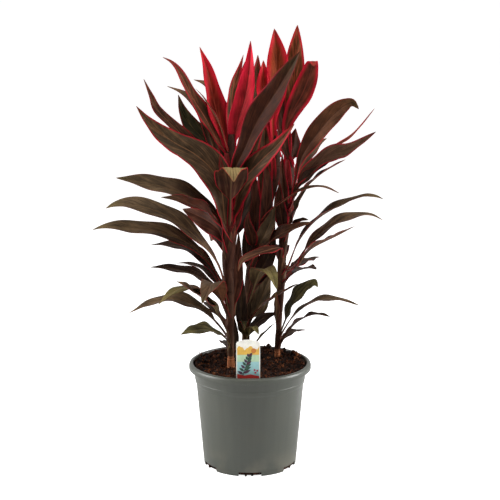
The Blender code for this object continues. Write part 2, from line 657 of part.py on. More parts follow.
def leafy_cane(name, cane, crown_height, leaves, crown, back):
    """A cane with its grown leaves, and the crown of young leaves on the bud at its top."""
    path = cane_path(cane)
    top = spot_at(path, crown_height)
    ends = [top + Vector((0, 0, rise)) for rise in (-NECK, 0, GAP, NECK)]
    lower = [spot for spot in path if spot.z < crown_height - 2 * NECK] + ends[:2]
    upper = ends[2:] + [spot for spot in path if spot.z > crown_height + 2 * NECK]
    groups = [
        ("leafy_cane", lower, [*rooted(path, leaves), *back_leaves(path, *back)], leaf_brown),
        ("crown", upper, rooted(path, crown), young_red),
    ]
    for part, line, grown, surface in groups:
        core = tube(f"{name}_{part}_core", line, [radius_at(cane, spot.z) for spot in line])
        blades = [leaf_object(f"{name}_{part}_{i}", *leaf) for i, leaf in enumerate(grown)]
        fuse(f"{name}_{part}", core, blades, surface)


for old in list(bpy.data.objects):
    bpy.data.objects.remove(old)
parts = collection("ti_plant")
cutters = collection("cutters")
leaf_brown = material("leaf_brown", LEAF_BROWN, LEAF_ROUGHNESS)
young_red = material("young_red", YOUNG_RED, YOUNG_ROUGHNESS)

pot()
soil()
tag()
for plant in PLANTS:
    leafy_cane(*plant)
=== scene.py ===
"""The looks of the ti plant: fine leaves, canes, pot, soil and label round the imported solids.

Lengths are written in millimetres and become metres where the objects are made. The origin is at the
bottom centre of the pot, +Z is up and -Y is the plant's front.
"""
from math import atan, atan2, cos, exp, hypot, pi, radians, sin
from random import Random

import bmesh
import bpy
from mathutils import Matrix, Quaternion, Vector, noise
from mathutils.geometry import interpolate_bezier


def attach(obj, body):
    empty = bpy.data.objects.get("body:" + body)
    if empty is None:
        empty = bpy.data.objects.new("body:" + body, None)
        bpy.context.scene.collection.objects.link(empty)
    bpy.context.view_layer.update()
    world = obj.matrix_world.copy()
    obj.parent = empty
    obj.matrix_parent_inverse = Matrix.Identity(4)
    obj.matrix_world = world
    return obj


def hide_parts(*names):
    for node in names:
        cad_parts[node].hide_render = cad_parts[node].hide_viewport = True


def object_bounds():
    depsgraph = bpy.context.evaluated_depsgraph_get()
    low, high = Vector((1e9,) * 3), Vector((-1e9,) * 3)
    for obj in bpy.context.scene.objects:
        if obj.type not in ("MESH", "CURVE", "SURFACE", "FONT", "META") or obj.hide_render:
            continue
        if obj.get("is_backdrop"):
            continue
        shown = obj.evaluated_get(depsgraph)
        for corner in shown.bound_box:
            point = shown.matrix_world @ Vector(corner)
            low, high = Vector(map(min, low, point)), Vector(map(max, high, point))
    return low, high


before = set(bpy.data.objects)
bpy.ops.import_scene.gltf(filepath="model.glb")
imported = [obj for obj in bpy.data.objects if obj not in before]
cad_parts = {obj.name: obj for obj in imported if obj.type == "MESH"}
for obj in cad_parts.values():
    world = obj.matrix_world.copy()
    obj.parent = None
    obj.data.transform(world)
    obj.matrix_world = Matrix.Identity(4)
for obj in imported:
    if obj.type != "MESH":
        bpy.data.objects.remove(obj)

cad_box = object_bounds()
MM = 0.001
# The corners of a square and of a box, in halves of their sides
SQUARE = ((-1, -1), (1, -1), (1, 1), (-1, 1))
BOX_CORNERS = [(across, along, up) for up in (-1, 1) for across, along in SQUARE]

# Pot
POT_HEIGHT = 180
POT_WALL = 1.8
POT_FLOOR = 2
BASE_RADIUS = 79.8
WALL_SPREAD = 0.0882
STEP_HEIGHT = 144
COLLAR_FOOT = (94.0, 147.5)
COLLAR_TOP = (96.6, 166)
STEP_THICKNESS = 1
LIP_RADIUS = 105
# The lip's section from the mouth round to its underside: (in from its widest, down from its top)
LIP_SECTION = [
    (7, 1), (6.2, 0), (3.6, 0), (1.2, 1.2), (0, 4), (0, 10), (1.6, 10), (1.7, 3.6), (4, 1.9), (5.4, 3),
]
POT_STEPS = 192
RING_HEIGHT = 153
RING_WIDTH = 1.4
RING_RISE = 0.4
WALL_HEIGHTS = (120, 80, 40, 10)
POT_EDGE = 0.5
SMOOTH_ANGLE = radians(50)
NOTCHES = 6
NOTCH_HALF_ANGLE = radians(14)
NOTCH_HEIGHT = 7.5
NOTCH_DEPTH = 12
# Where the pot's colour changes, in metres: the dust's top, the painted shade in the depth of the
# notches, and the soiled mouth, which is inside MOUTH_RADII once MOUTH_FLARE of the height is taken off
DUST_TOP = 0.05
NOTCH_SHADE_RADII = (0.0775, 0.0792)
NOTCH_SHADE_HEIGHTS = (0.008, 0.009)
MOUTH_FLARE = 0.25
MOUTH_RADII = (0.0537, 0.0547)

# Soil
SOIL_LEVEL = 169
SOIL_RINGS = 60
SOIL_STEPS = 220
RING_CROWDING = 0.8
LUMP_HEIGHT = 3.2
LUMP_LIFT = 0.25
LUMP_WIDTH = 17
CRUMB_HEIGHT = 2.8
CRUMB_WIDTH = 8
GRAIN_HEIGHT = 3
GRAIN_WIDTH = 2.8
BANK_RISE = 6
BANK_FOOT = -30
BANK_TOP = 75
BANK_TURN = radians(70)
HEAP_RISE = 8
HEAP_REACH = (74, 92)
HEAP_FRONT = (-70, 0)
HEAP_FADE = 0.7
SOIL_GAP = 0.3
CHIPS = 1500
CHIP_SEED = 11
CHIP_MARGIN = 1.5
CHIP_CROWDING = 0.45
CHIP_LIFTS = (-0.2, 0.9)
CHIP_LENGTHS = (1.2, 3.4)
CHIP_WIDTHS = (0.35, 0.7)
CHIP_THICKNESSES = (0.2, 0.45)
CHIP_CORNERS = (0.6, 1.1)
LONG_CHIPS = 0.1
LONG_CHIP_STRETCH = 1.9
CHIP_KINDS = (0, 0, 0, 0, 1, 1, 1, 2)
TWIG_TAPER = 0.5
CLOD_BODY = 0.85
CLOD_KNOB_WIDTH = 2.6
CLOD_KNOB = 0.45
CLOD_GRAIN = 0.2
# Twigs: both ends and half the thickness. Clods by the rim and in the notches: the middle and size.
TWIGS = [((-80, 40, 172), (-90, 44, 185), 0.8), ((-86, 42, 178), (-84, 47, 186), 0.6),
         ((60, -52, 173), (76, -40, 177), 0.9), ((8, 62, 175), (24, 66, 180), 0.8)]
CLODS = [((33, 85, 183), 5), ((26, 87, 180), 4), ((76, 51, 182), 4.5), ((86, 28, 181), 4),
         ((-20, 88, 180), 4), ((60, 68, 181), 4.5), ((-74, 42, 8.5), 4.4), ((-70, 42, 4.6), 3.8),
         ((-69, -38, 3.2), 2.6), ((4, -79, 2.8), 2.3), ((-7, -79, 2.4), 2), ((69, 39, 3.4), 2.8),
         ((68, -40, 2.4), 2)]

# Tag
TAG_WIDTH = 40
TAG_X = -3
TAG_Y = -84
TAG_FOOT = 172
TAG_SHOULDER = 236
TAG_TOP = 243
TAG_THICKNESS = 0.8
SPIKE_WIDTH = 12
SPIKE_DEPTH = 55
SPIKE_POINT = 11
TAG_CORNER = 3
ARCH_STEPS = 24
# The print: places across from the label's middle and up, and for the sun its radius and sides as well
PRINT_GAP = 0.06
PRINT_DEPTH = 0.1
PRINT_MARGIN = 1.6
PRINT_FOOT = 176
SKY_FOOT = 205
SKY_TOP = 222
HILL_FOOT = 217
HILL_TOP = 229
HILL_STEPS = 12
HILL_SWELLS = ((3.2, 1.1), (1.4, 2.7))
GROUND_SIDES = (180, 184)
GROUND_SWELLS = ((4, 183), (-6, 181))
RUNGS = 7
SPRIG_FOOT = (-9, 184)
SPRIG_STEP = (1.7, 4.8)
SPRIG_STEM = ((-10, 181), (-8.6, 181), (2.9, 217), (2.1, 217))
# The leaflets on each side of the stem: how far right and up they start, their lean and its change from
# rung to rung, their length and its change, their width, how often one is violet, and their two inks
SPRIG_SIDES = (
    (0, 0, 152, -7, 10, -0.5, 4.6, 2, "3d2440", "1d4a3a"),
    (0.6, 1, 24, 5, 14, -0.9, 5, 3, "4a2038", "24503c"),
)
LEAFLET_STEPS = (0, 0.2, 0.45, 0.7, 1, 0.7, 0.45, 0.2)
LEAFLET_FULLNESS = 0.8
SUN = (9, 224, 4.2, 20)
BERRIES = ((12, 186), (15.2, 189.5), (10.6, 190.5))
BERRY_RADIUS = 1.7
BERRY_SIDES = 14

# Leaves
STATION_SPACING = 21
PETIOLE_SHARE = 0.26
UPRIGHT_PETIOLE_SHARE = 0.12
BASE_HALF_WIDTH = 1.4
BASE_SPREAD = 0.07
UPRIGHT_BASE_SPREAD = 0.22
PETIOLE_NARROWING = 0.4
PETIOLE_THICKNESS = 3.4
PETIOLE_THINNING = 0.5
TIP_HALF_WIDTH = 0.4
WIDEST_AT = 0.85
UPRIGHT_WIDEST_AT = 0.7
ROUNDNESS = 0.9
TIP_DRAWING_OUT = 0.15
FOLD = radians(20)
FLAT_BEND = radians(40)
WAVES = 2.6
WAVE_HEIGHT = 0.14
WAVE_LEAD = 0.9
FINE_SPACING = 3.6
ACROSS = [0, 0.05, 0.13, 0.28, 0.46, 0.64, 0.8, 0.92, 1]
HALVES = [-place for place in reversed(ACROSS[1:])] + ACROSS
# Once round a leaf's section: (0, place) over the upper face, then (1, place) back along the lower one
SECTION = [(0, place) for place in HALVES] + [(1, place) for place in reversed(HALVES)]
BLADE_THICKNESS = 0.4
FOLD_ROUNDING = 0.12
WAVE_EDGE = 1.5
RIB_HALF_WIDTH = 1.4
RIB_TAPER = 0.7
RELIEF_HALF_WIDTH = 6
RIB_DEPTH = 0.7
RIB_GROOVE = 0.3
BLADE_ARCH = 0.05
VEIN_SLANT = 0.17
INNER_SHARE = 0.7
UPRIGHT_INNER_SHARE = 0.35
INNER_RIM_SHARE = 0.6
INNER_REDNESS = 0.7
STALK_REACH = (0.6, 1.5)
STALK_SHARE = 0.85
STALK_RIM_SHARE = 0.4
TIP_SHARE = 0.8
TIP_RIM_SHARE = 0.6
PALE_RIM = 0.25
SEED_SPACING = 61.7
INNER_REACH = (0.2, 0.8)
INNER_HEIGHTS = (225, 290)
SHEATH_DROP = 46
SHEATH_REACH = 13
SHEATH_STEPS = 16
SHEATH_WRAP = radians(62)
SHEATH_TOP_HALF = 2.4
SHEATH_THICKNESS = 1.5
SHEATH_FLARE = 1.8
SHEATH_CLEARANCE = 0.4
SHEATH_NARROWING = 0.7
SHEATH_FADE = (0, 0.45)
SHEATH_LEAFINESS = 0.1
SHEATH_LEAFINESS_GAIN = 0.3
SHEATH_EDGE_SHARE = 0.6
SHEATH_FOOT_SHARE = 0.2
SHEATH_EDGE_THINNING = 0.6
SHEATH_RIM = 0.7
SHEATH_RIM_GAIN = 1.1
SHEATH_BLUSH = 2.2
SHEATH_SLANT = 0.1

# The viewing point, from which the leaves' places across and up are read
VIEW_DISTANCE = 2600
VIEW_HEIGHT = 960

# Camera and studio, whose lights and floor are in metres: each light's place, aim, size and power
AIM_HEIGHT = 377
FOCAL_PIXELS = 1571
FRAME_PIXELS = 500
SENSOR_WIDTH = 36
SURROUND_LIGHT = 0.06
SURROUND_SHEEN = 1
FLOOR_HALF = 30
FLOOR_GLOW = 0.9
FLOOR_BOUNCE = 0.24
LIGHTS = {
    "left_softbox": ((-1.7, -0.1, 0.9), (0, 0, 0.35), (0.9, 1.5), 48),
    "right_softbox": ((1.7, -0.1, 0.9), (0, 0, 0.35), (0.9, 1.5), 48),
    "overhead": ((0, -0.8, 2.5), (0, 0, 0.4), (1.6, 1.2), 26),
}

# Each cane: (x, y, z, radius) up its line, with x and z as they look from the viewing point
LEFT_CANE = [
    (-33, 0, 172, 6.5), (-33, 0, 183, 6.2), (-33, 0, 196, 5), (-33, 0, 240, 5.2), (-34, 0, 300, 6.8),
    (-37, 0, 350, 8.6), (-35, 0, 400, 10.5), (-33, 0, 440, 11.5), (-31, 0, 480, 11.5),
    (-32, 0, 520, 10), (-31, 0, 575, 5),
]
MIDDLE_CANE = [
    (-10, 48, 188, 6.5), (-10, 48, 200, 6), (-8, 48, 220, 5), (-5, 48, 260, 5.2), (-3, 48, 300, 6.2),
    (0, 48, 340, 7), (8, 47, 380, 8), (16, 45, 420, 9), (28, 42, 455, 9.5), (38, 39, 490, 9.5),
    (43, 37, 525, 8.5), (43, 36, 580, 4.5),
]
RIGHT_CANE = [
    (47, 44, 188, 5.2), (47, 44, 200, 5), (48, 44, 220, 4.8), (50, 44, 260, 5.2), (51, 45, 300, 6),
    (53, 47, 340, 6.4), (55, 50, 380, 6.8), (59, 54, 420, 7.8), (64, 58, 460, 9), (66, 60, 505, 8.5),
    (66, 60, 560, 4.5),
]

# Each leaf: where it leaves the cane, the points of its midrib, its width, its roll and its look.
# An upright leaf also gives its heading, in degrees from +X towards +Y, and some say how far up they
# are widest: more is further up. One also says how much of it is stalk.
LEFT_LEAVES = [
    (446, [(-40, 12, 480), (-54, 25, 530), (-76, 42, 597), (-91, 54, 627), (-112, 66, 644),
     (-137, 75, 655)], 24, 25, "bronze"),
    (436, [(-41, 14, 472), (-52, 26, 520), (-72, 44, 560), (-98, 56, 589), (-112, 62, 615),
     (-119, 64, 641)], 50, 0, "olive_dark", 104),
    (430, [(-45, 2, 466), (-58, 5, 510), (-97, 10, 557), (-131, 18, 591), (-155, 24, 617),
     (-166, 28, 642), (-176, 30, 667)], 25, 40, "rust"),
    (396, [(-43, -14, 432), (-48, -19, 480), (-63, -20, 514), (-92, -15, 541), (-125, -7, 560),
     (-152, 2, 579), (-173, 4, 600), (-189, 5, 622)], 58, 60, "bronze_red", 180),
    (362, [(-46, -8, 398), (-57, -8, 438), (-80, -10, 458), (-112, -12, 474), (-160, -15, 489),
     (-225, -20, 501)], 46, 38, "bronze", None, 1.05),
    (350, [(-44, -14, 386), (-56, -30, 424), (-76, -55, 443), (-104, -78, 459), (-150, -98, 468)], 42, 35,
     "big_dark"),
    (350, [(-43, 10, 384), (-52, 22, 411), (-76, 45, 430), (-114, 70, 448)], 42, 50, "maroon"),
    (272, [(-42, -6, 302), (-48, -14, 334), (-61, -26, 363), (-84, -36, 392), (-112, -43, 417),
     (-148, -48, 440), (-190, -53, 454), (-222, -55, 457), (-243, -55, 449)], 46, 35, "bronze", None,
     1.2),
    (272, [(-48, 8, 318), (-72, 12, 358), (-108, 15, 390), (-150, 15, 408), (-200, 14, 415),
     (-240, 10, 418), (-266, 8, 412)], 38, 33, "bronze", None, 1.1),
    (262, [(-52, 25, 318), (-80, 45, 362), (-116, 60, 383), (-168, 75, 386)], 32, 15, "dark", None, 1.15),
    (256, [(-56, -12, 304), (-86, -20, 330), (-125, -30, 343), (-170, -35, 347)], 34, 20, "dark"),
    (258, [(-52, 40, 312), (-70, 60, 338), (-98, 80, 352), (-128, 95, 354)], 20, 5, "dark"),
    (250, [(-47, -25, 284), (-59, -60, 313), (-67, -98, 317), (-82, -150, 283)], 42, 0, "underside"),
    (240, [(-57, -5, 272), (-78, -36, 290), (-101, -66, 307), (-125, -92, 322)], 36, 30, "underside"),
    (222, [(-50, -15, 256), (-76, -35, 297), (-116, -55, 311), (-157, -75, 281)], 36, 5, "olive_tipped"),
    (236, [(-49, 20, 256), (-66, 45, 276), (-82, 75, 287)], 17, 0, "dark"),
    (204, [(-38, 10, 222), (-56, 15, 247), (-86, 20, 275), (-140, 25, 291), (-208, 22, 266)], 42, 12,
     "bronze"),
    (196, [(-36, -14, 214), (-54, -28, 231), (-83, -52, 237), (-119, -80, 228)], 38, 20, "olive"),
    (190, [(-38, 22, 205), (-45, 50, 216), (-51, 85, 216)], 16, 0, "dark"),
    (398, [(-34, -20, 438), (-32, -38, 488), (-30, -56, 512), (-29, -76, 517), (-27, -92, 494)], 60, 0,
     "heart", None, 0.8, 0.42),
    (408, [(-26, -12, 446), (-14, -15, 492), (20, -35, 532), (45, -50, 556), (74, -60, 592)], 44, 60,
     "red_edged", 0),
    (436, [(-29, -16, 476), (-25, -18, 515), (-8, -26, 552), (14, -34, 600), (46, -44, 650),
     (82, -56, 712)], 50, 60, "big_dark", 0, 1.35),
    (420, [(-25, 0, 456), (-15, 2, 498), (3, 0, 540), (24, 0, 598)], 42, 45, "red_edged", 0, 1.1),
    (385, [(-18, 20, 425), (-6, 26, 460), (2, 28, 498)], 26, 0, "dark", 80),
    (390, [(-27, -6, 424), (-20, -6, 456), (-6, -8, 500)], 24, 0, "maroon", 80),
    (400, [(-41, -12, 440), (-44, -19, 488), (-51, -18, 540)], 24, 0, "maroon", -80),
    (414, [(-42, -8, 452), (-54, -11, 504), (-66, -9, 556)], 24, 0, "rust", -100),
    (262, [(-24, 18, 310), (-21, 22, 350), (-19, 24, 408)], 22, 0, "maroon", 95),
    (192, [(-28, 22, 214), (-28, 26, 240), (-30, 28, 268)], 18, 0, "dark", 90),
]
LEFT_CROWN = [
    (533, [(-42, 10, 570), (-58, 14, 622), (-69, 15, 676), (-83, 10, 720)], 38, 60, "flame", 180),
    (535, [(-31, 12, 590), (-28, 16, 650), (-11, 16, 707)], 27, 0, "young_olive", 120),
    (538, [(-22, 0, 590), (-9, -4, 635), (-1, -6, 685), (1, -6, 730)], 36, 0, "scarlet", 75),
    (531, [(-52, 0, 560), (-74, 2, 601), (-96, 4, 637), (-113, 7, 671), (-127, 10, 693), (-144, 12, 703)],
     32, 40, "rust_pink", 180),
    (532, [(-45, 30, 590), (-55, 45, 632), (-68, 60, 656), (-93, 70, 666)], 22, 30, "bronze"),
    (531, [(-51, -20, 592), (-76, -34, 634), (-90, -42, 651)], 13, 30, "bronze"),
    (534, [(-40, 30, 580), (-52, 55, 630), (-66, 72, 674)], 28, 0, "young_olive"),
    (540, [(-26, 25, 590), (-15, 50, 645), (-8, 62, 696)], 26, 0, "crimson"),
]
MIDDLE_LEAVES = [
    (378, [(8, 38, 430), (7, 34, 468), (9, 32, 508)], 30, 0, "maroon", 90),
    (318, [(6, 35, 362), (32, 20, 390), (62, -6, 410), (104, -28, 425)], 34, 40, "rust"),
    (262, [(8, 20, 316), (18, -20, 340), (34, -60, 340), (46, -92, 308)], 38, 0, "olive_tipped"),
    (232, [(14, 22, 272), (42, 5, 294), (82, -10, 318)], 26, 15, "bronze"),
    (206, [(-3, 12, 228), (1, -14, 241), (8, -32, 241), (15, -46, 228)], 25, 0, "olive"),
    (200, [(2, 40, 234), (18, 34, 254), (46, 24, 267)], 22, 60, "dark"),
    (200, [(-12, 18, 234), (-12, 0, 250), (-10, -16, 250), (-9, -30, 236)], 20, 0, "olive_dark"),
    (268, [(10, 75, 318), (25, 110, 335)], 26, 0, "dark"),
    (396, [(24, 22, 436), (52, 8, 458), (85, -6, 479), (118, -20, 487), (150, -30, 475)], 16, 15,
     "bronze"),
    (378, [(24, 30, 424), (29, 17, 490), (24, 8, 548)], 24, 0, "maroon", 90),
    (386, [(25, 30, 432), (24, 22, 515), (24, 21, 604)], 30, 0, "red_edged", 100, 1.3),
    (366, [(2, 20, 405), (-4, 2, 425), (-2, -10, 444)], 22, 0, "maroon", 90),
    (360, [(22, 30, 398), (35, 22, 426), (44, 18, 458)], 30, 0, "bronze", 60),
    (218, [(-14, 36, 250), (-15, 36, 285), (-12, 36, 328)], 21, 0, "dark", 100),
    (292, [(12, 56, 330), (28, 60, 360), (42, 62, 396)], 36, 0, "dark", 80),
    (240, [(12, 44, 276), (23, 40, 302), (35, 36, 336)], 36, 0, "bronze", 75),
    (196, [(4, 40, 208), (22, 30, 228), (44, 16, 250)], 12, 0, "olive"),
    (300, [(20, 40, 345), (34, 30, 375), (42, 26, 420)], 28, 0, "dark", 80),
    (328, [(-3, 40, 360), (-6, 36, 390), (-7, 34, 424)], 20, 0, "dark", 95),
]
MIDDLE_CROWN = [
    (530, [(38, 30, 600), (44, 29, 660), (44, 29, 705), (40, 28, 750)], 43, 0, "crimson", 100, 1.5),
    (534, [(27, 28, 620), (22, 22, 660), (22, 20, 698)], 31, 0, "flame", 105, 1.4),
    (524, [(26, 52, 600), (12, 62, 655), (13, 66, 707)], 32, 0, "young_olive", 100, 1),
    (528, [(38, 66, 590), (36, 90, 635), (44, 100, 675)], 30, 0, "red_edged"),
]
RIGHT_LEAVES = [
    (432, [(70, 52, 462), (78, 46, 503), (88, 46, 540), (115, 48, 580), (143, 50, 612), (168, 50, 628),
     (181, 46, 617)], 41, -75, "underside", None, 1.3),
    (430, [(71, 62, 464), (92, 72, 503), (129, 85, 542), (165, 93, 568), (188, 98, 592), (207, 100, 618)],
     15, 0, "rust_pink"),
    (424, [(69, 44, 458), (85, 28, 497), (109, 14, 521), (134, 4, 539), (162, -4, 548), (186, -8, 561),
     (210, -12, 579)], 37, 50, "dark_pink"),
    (402, [(69, 38, 436), (86, 18, 474), (107, 4, 497), (127, -12, 513), (160, -35, 532)], 25, 20,
     "rust"),
    (396, [(72, 22, 432), (82, 8, 458), (95, -2, 482)], 30, 60, "bronze"),
    (420, [(69, 44, 452), (81, 26, 482), (98, 10, 504), (132, -8, 527)], 32, 50, "dark"),
    (316, [(66, 30, 352), (82, 20, 392), (110, 8, 427), (146, -2, 451), (180, -12, 466), (205, -22, 471),
     (224, -28, 465)], 35, 15, "bronze"),
    (326, [(77, 50, 354), (101, 56, 387), (130, 62, 414), (162, 68, 431), (196, 74, 439), (224, 78, 429)],
     35, 12, "bronze"),
    (332, [(76, 22, 346), (103, 5, 378), (148, -22, 402), (177, -38, 418)], 32, 0, "rust"),
    (312, [(76, 78, 348), (98, 115, 358), (119, 145, 365)], 30, 0, "dark"),
    (304, [(76, 10, 338), (98, -45, 345), (113, -90, 343)], 30, 0, "dark"),
    (348, [(53, 12, 380), (32, -26, 377), (4, -44, 368), (-14, -54, 358), (-20, -58, 340)], 24, 15,
     "rust"),
    (210, [(61, 20, 254), (72, 6, 281), (92, -10, 307), (110, -24, 320), (116, -36, 312)], 40, 60,
     "olive"),
    (202, [(57, 36, 235), (75, 30, 262), (101, 22, 282), (136, 15, 292), (187, 5, 280)], 30, 6, "bronze"),
    (194, [(64, 18, 232), (83, 4, 252), (110, -20, 264), (137, -40, 260)], 29, 8, "dark"),
    (186, [(57, 58, 220), (72, 78, 233), (98, 102, 236)], 20, 0, "dark"),
    (215, [(45, 26, 252), (45, -6, 282), (43, -22, 303)], 14, 30, "bronze"),
    (392, [(54, 36, 430), (49, 36, 462), (50, 36, 494)], 24, 0, "maroon", 90),
    (424, [(58, 50, 464), (54, 50, 505), (54, 51, 542)], 19, 0, "maroon", 95),
    (458, [(92, 95, 530), (112, 120, 556), (128, 130, 568)], 30, 10, "bronze"),
    (372, [(66, 30, 408), (76, 18, 424), (88, 10, 430), (99, 6, 429)], 20, 40, "dark"),
]
RIGHT_CROWN = [
    (512, [(62, 62, 570), (71, 60, 640), (75, 58, 705), (78, 56, 756)], 40, 0, "crimson_olive", 85, 1.4),
    (510, [(60, 44, 575), (69, 38, 609), (87, 31, 643), (99, 24, 675), (104, 12, 697), (106, -4, 688)],
     40, 0, "curled", 75, 1.5),
    (514, [(71, 70, 545), (74, 72, 563), (76, 74, 585)], 32, 0, "maroon", 70),
    (511, [(59, 46, 560), (54, 45, 604), (55, 45, 645)], 25, 0, "maroon", 95),
]

# The leaves that face away: the lowest and highest root, how many, and the range of their headings
LEFT_BACK = (215, 460, 7, 84, 108)
MIDDLE_BACK = (225, 490, 5, 74, 92)
RIGHT_BACK = (262, 395, 4, 80, 92)
BACK_LOOKS = ["bronze", "dark", "bronze", "rust"]

# Each plant: its name, its cane, the height of its crown, its leaves, its young ones, and its back ones
PLANTS = [
    ("left", LEFT_CANE, 520, LEFT_LEAVES, LEFT_CROWN, LEFT_BACK),
    ("middle", MIDDLE_CANE, 514, MIDDLE_LEAVES, MIDDLE_CROWN, MIDDLE_BACK),
    ("right", RIGHT_CANE, 496, RIGHT_LEAVES, RIGHT_CROWN, RIGHT_BACK),
]
BACK_LENGTH = 150
BACK_WIDTH = 30
BACK_LENGTH_SPREAD = 0.15
BACK_RISE = [(0.3, 0.28), (0.65, 0.36), (1, 0.2)]
GOLDEN_SHARE = 0.618
CANE_DEPTH = 70
CANE_PIECES = 2
CORE_SPACING = 2
CORE_SIDES = 28
CROWN_SHEATH_DROP = 24
FOOT_TOP = 191
FOOT_FADE = (-6, 4)
SCAR_SPACING = 4.6
SCAR_RISE = 0.4
CANE_RIBS = 7
CANE_RIB_RISE = 0.25
CANE_RIB_TWIST = 30
REDNESS_HEIGHTS = (260, 470)
CORE_HEIGHTS = (220, 420)
STALK_HEIGHTS = (380, 510)
# Too far from a margin and a midrib for either to be drawn
NO_EDGE = 9
BARK_HABIT = (0.1, 0.1, NO_EDGE)


def linear(code):
    """The linear red, green and blue of a colour's hexadecimal code."""
    parts = [int(code[i:i + 2], 16) / 255 for i in (0, 2, 4)]
    return Vector([part / 12.92 if part <= 0.04045 else ((part + 0.055) / 1.055) ** 2.4 for part in parts])


# Each look: the colours of the upper face, the underside, the margin, the midrib and the tip, then
# the widths in mm of the margin's line and of the blush inside it, and the tip colour's share
LOOKS = {
    "bronze": ("5a4936", "533728", "7a1a1e", "6e563b", "5a5230", 0.9, 2.0, 0.06),
    "bronze_red": ("4b3b2a", "4c2e20", "ac1828", "7a5438", "5a4a2a", 2.0, 4.5, 0.05),
    # dark: a dark brown leaf with the shade deep in the bush painted in, for leaves that sit in that shade
    "dark": ("2e2018", "331e15", "5c1218", "4c3a28", "3a301e", 0.8, 1.5, 0.06),
    "big_dark": ("35190e", "38190d", "74121e", "3e2416", "3f3621", 1.4, 3.5, 0.10),
    "maroon": ("4a2a1f", "4e2e21", "7c141e", "5c3828", "4a3822", 1.4, 4.0, 0.05),
    "rust": ("503325", "573828", "8c1a22", "7a543c", "564428", 1.1, 3.0, 0.06),
    "rust_pink": ("5a3a26", "5c3c28", "a01a28", "98503e", "4a361f", 1.6, 5.0, 0.08),
    "dark_pink": ("5a4030", "5a3a2a", "8e1e2c", "4c3827", "3c301e", 2.4, 4.0, 0.06),
    "olive": ("3e3823", "3c311d", "4c1c16", "665c38", "66603a", 0.7, 1.0, 0.14),
    "olive_tipped": ("55482e", "50442e", "5c1c1a", "6c5c40", "6c643a", 0.8, 1.2, 0.18),
    "red_edged": ("42301f", "4a2c1e", "ac182a", "744430", "544324", 2.4, 6.0, 0.05),
    "crimson": ("7c3218", "7c321e", "c0182c", "8a3a22", "6a2218", 3.4, 11.0, 0.05),
    "crimson_olive": ("683a1e", "683a20", "bc182c", "b0523b", "5a361c", 2.6, 6.0, 0.05),
    "scarlet": ("b2202a", "aa222e", "ce1e36", "5c1a16", "961a20", 4.0, 11.0, 0.03),
    "young_olive": ("4c3821", "503822", "a8162a", "944032", "544322", 2.0, 5.0, 0.05),
    "heart": ("86734c", "402a1c", "981422", "5e4630", "947c52", 1.4, 2.5, 0.08),
    # A dark olive-brown leaf with the shade of the bush painted in, for leaves that sit in it
    "olive_dark": ("2c2a1a", "33281a", "7c1a20", "4c4026", "3a3420", 1.2, 3.0, 0.06),
    "underside": ("4e3c2c", "5c3a26", "861620", "3c2418", "5a5230", 1.0, 2.5, 0.06),
    "curled": ("56281a", "5a2a1a", "be182e", "7c382a", "544324", 3.6, 8.0, 0.05),
    "flame": ("801c10", "801a12", "c8182c", "8c3a2c", "544324", 4.0, 11.0, 0.05),
}
# The colours deep inside the plant, of the stalks and canes, and of the pot, soil and label
# The leaves' maroon near the cane, with the shade inside the bush painted in
INNER_MAROON_AND_SHADE = linear("361812")
INNER_CRIMSON = linear("b0182a")
STEM_MAROON = linear("3e241c")
STEM_RED = linear("7c141e")
# The lower cane's bark: its own brown with the shade under the leaves painted in
BARK_BROWN_IN_SHADE = linear("503629")
FOOT_ORANGE = linear("7c3c20")
FOOT_PALE = linear("ad7450")
POT_DARK = linear("31342b")
POT_LIGHT = linear("35382f")
POT_DUST = linear("645f50")
POT_SOILED = linear("3a2a1c")
POT_SPECK = linear("3c2c20")
SOIL_DARK = linear("22140d")
SOIL_RUSSET = linear("5a2e18")
CHIP_TONES = [linear("160d08"), linear("462412"), linear("6c3f24")]
TAG_CREAM = linear("fbf8ee")


# Lines in space

def in_space(seen_x, depth, seen_z):
    """The point at a depth that looks to be at seen_x and seen_z on the plane through the axis."""
    share = depth / VIEW_DISTANCE
    return Vector((seen_x * (1 + share), depth, seen_z + (seen_z - VIEW_HEIGHT) * share))


def smooth_path(points, pieces=6):
    """Points along a smooth curve through the given ones."""
    ends = [2 * points[0] - points[1], *points, 2 * points[-1] - points[-2]]
    path = [points[0]]
    for before, start, end, after in zip(ends, ends[1:], ends[2:], ends[3:]):
        first_handle = start + (end - before) / 6
        second_handle = end - (after - start) / 6
        path += interpolate_bezier(start, first_handle, second_handle, end, pieces + 1)[1:]
    return path


def level(turn):
    """The level direction at a turn from +X."""
    return Vector((cos(turn), sin(turn), 0))


def length_of(path):
    return sum((end - start).length for start, end in zip(path, path[1:]))


def evenly(path, count):
    """count points at equal distances along a path, both ends among them."""
    spacing = length_of(path) / (count - 1)
    spots = [path[0]]
    gone = 0
    for start, end in zip(path, path[1:]):
        step = (end - start).length
        while len(spots) < count - 1 and spacing * len(spots) <= gone + step:
            spots.append(start.lerp(end, (spacing * len(spots) - gone) / step))
        gone += step
    return spots + [path[-1]]


def cane_path(cane):
    """The smooth line of a cane, which runs straight down into the soil."""
    path = smooth_path([in_space(*row[:3]) for row in cane], CANE_PIECES)
    foot = path[0].copy()
    foot.z = SOIL_LEVEL - CANE_DEPTH
    return [foot, *path]


def spot_at(path, height):
    """The point of a cane's line at a height."""
    for start, end in zip(path, path[1:]):
        if end.z >= height:
            return start.lerp(end, (height - start.z) / (end.z - start.z))
    return path[-1]


def radius_at(cane, height):
    """A cane's radius at a height."""
    rows = [(in_space(*row[:3]).z, row[3]) for row in cane]
    for (low, low_radius), (high, high_radius) in zip(rows, rows[1:]):
        if height < high:
            share = max(0, (height - low) / (high - low))
            return low_radius + (high_radius - low_radius) * share
    return rows[-1][1]


# Meshes

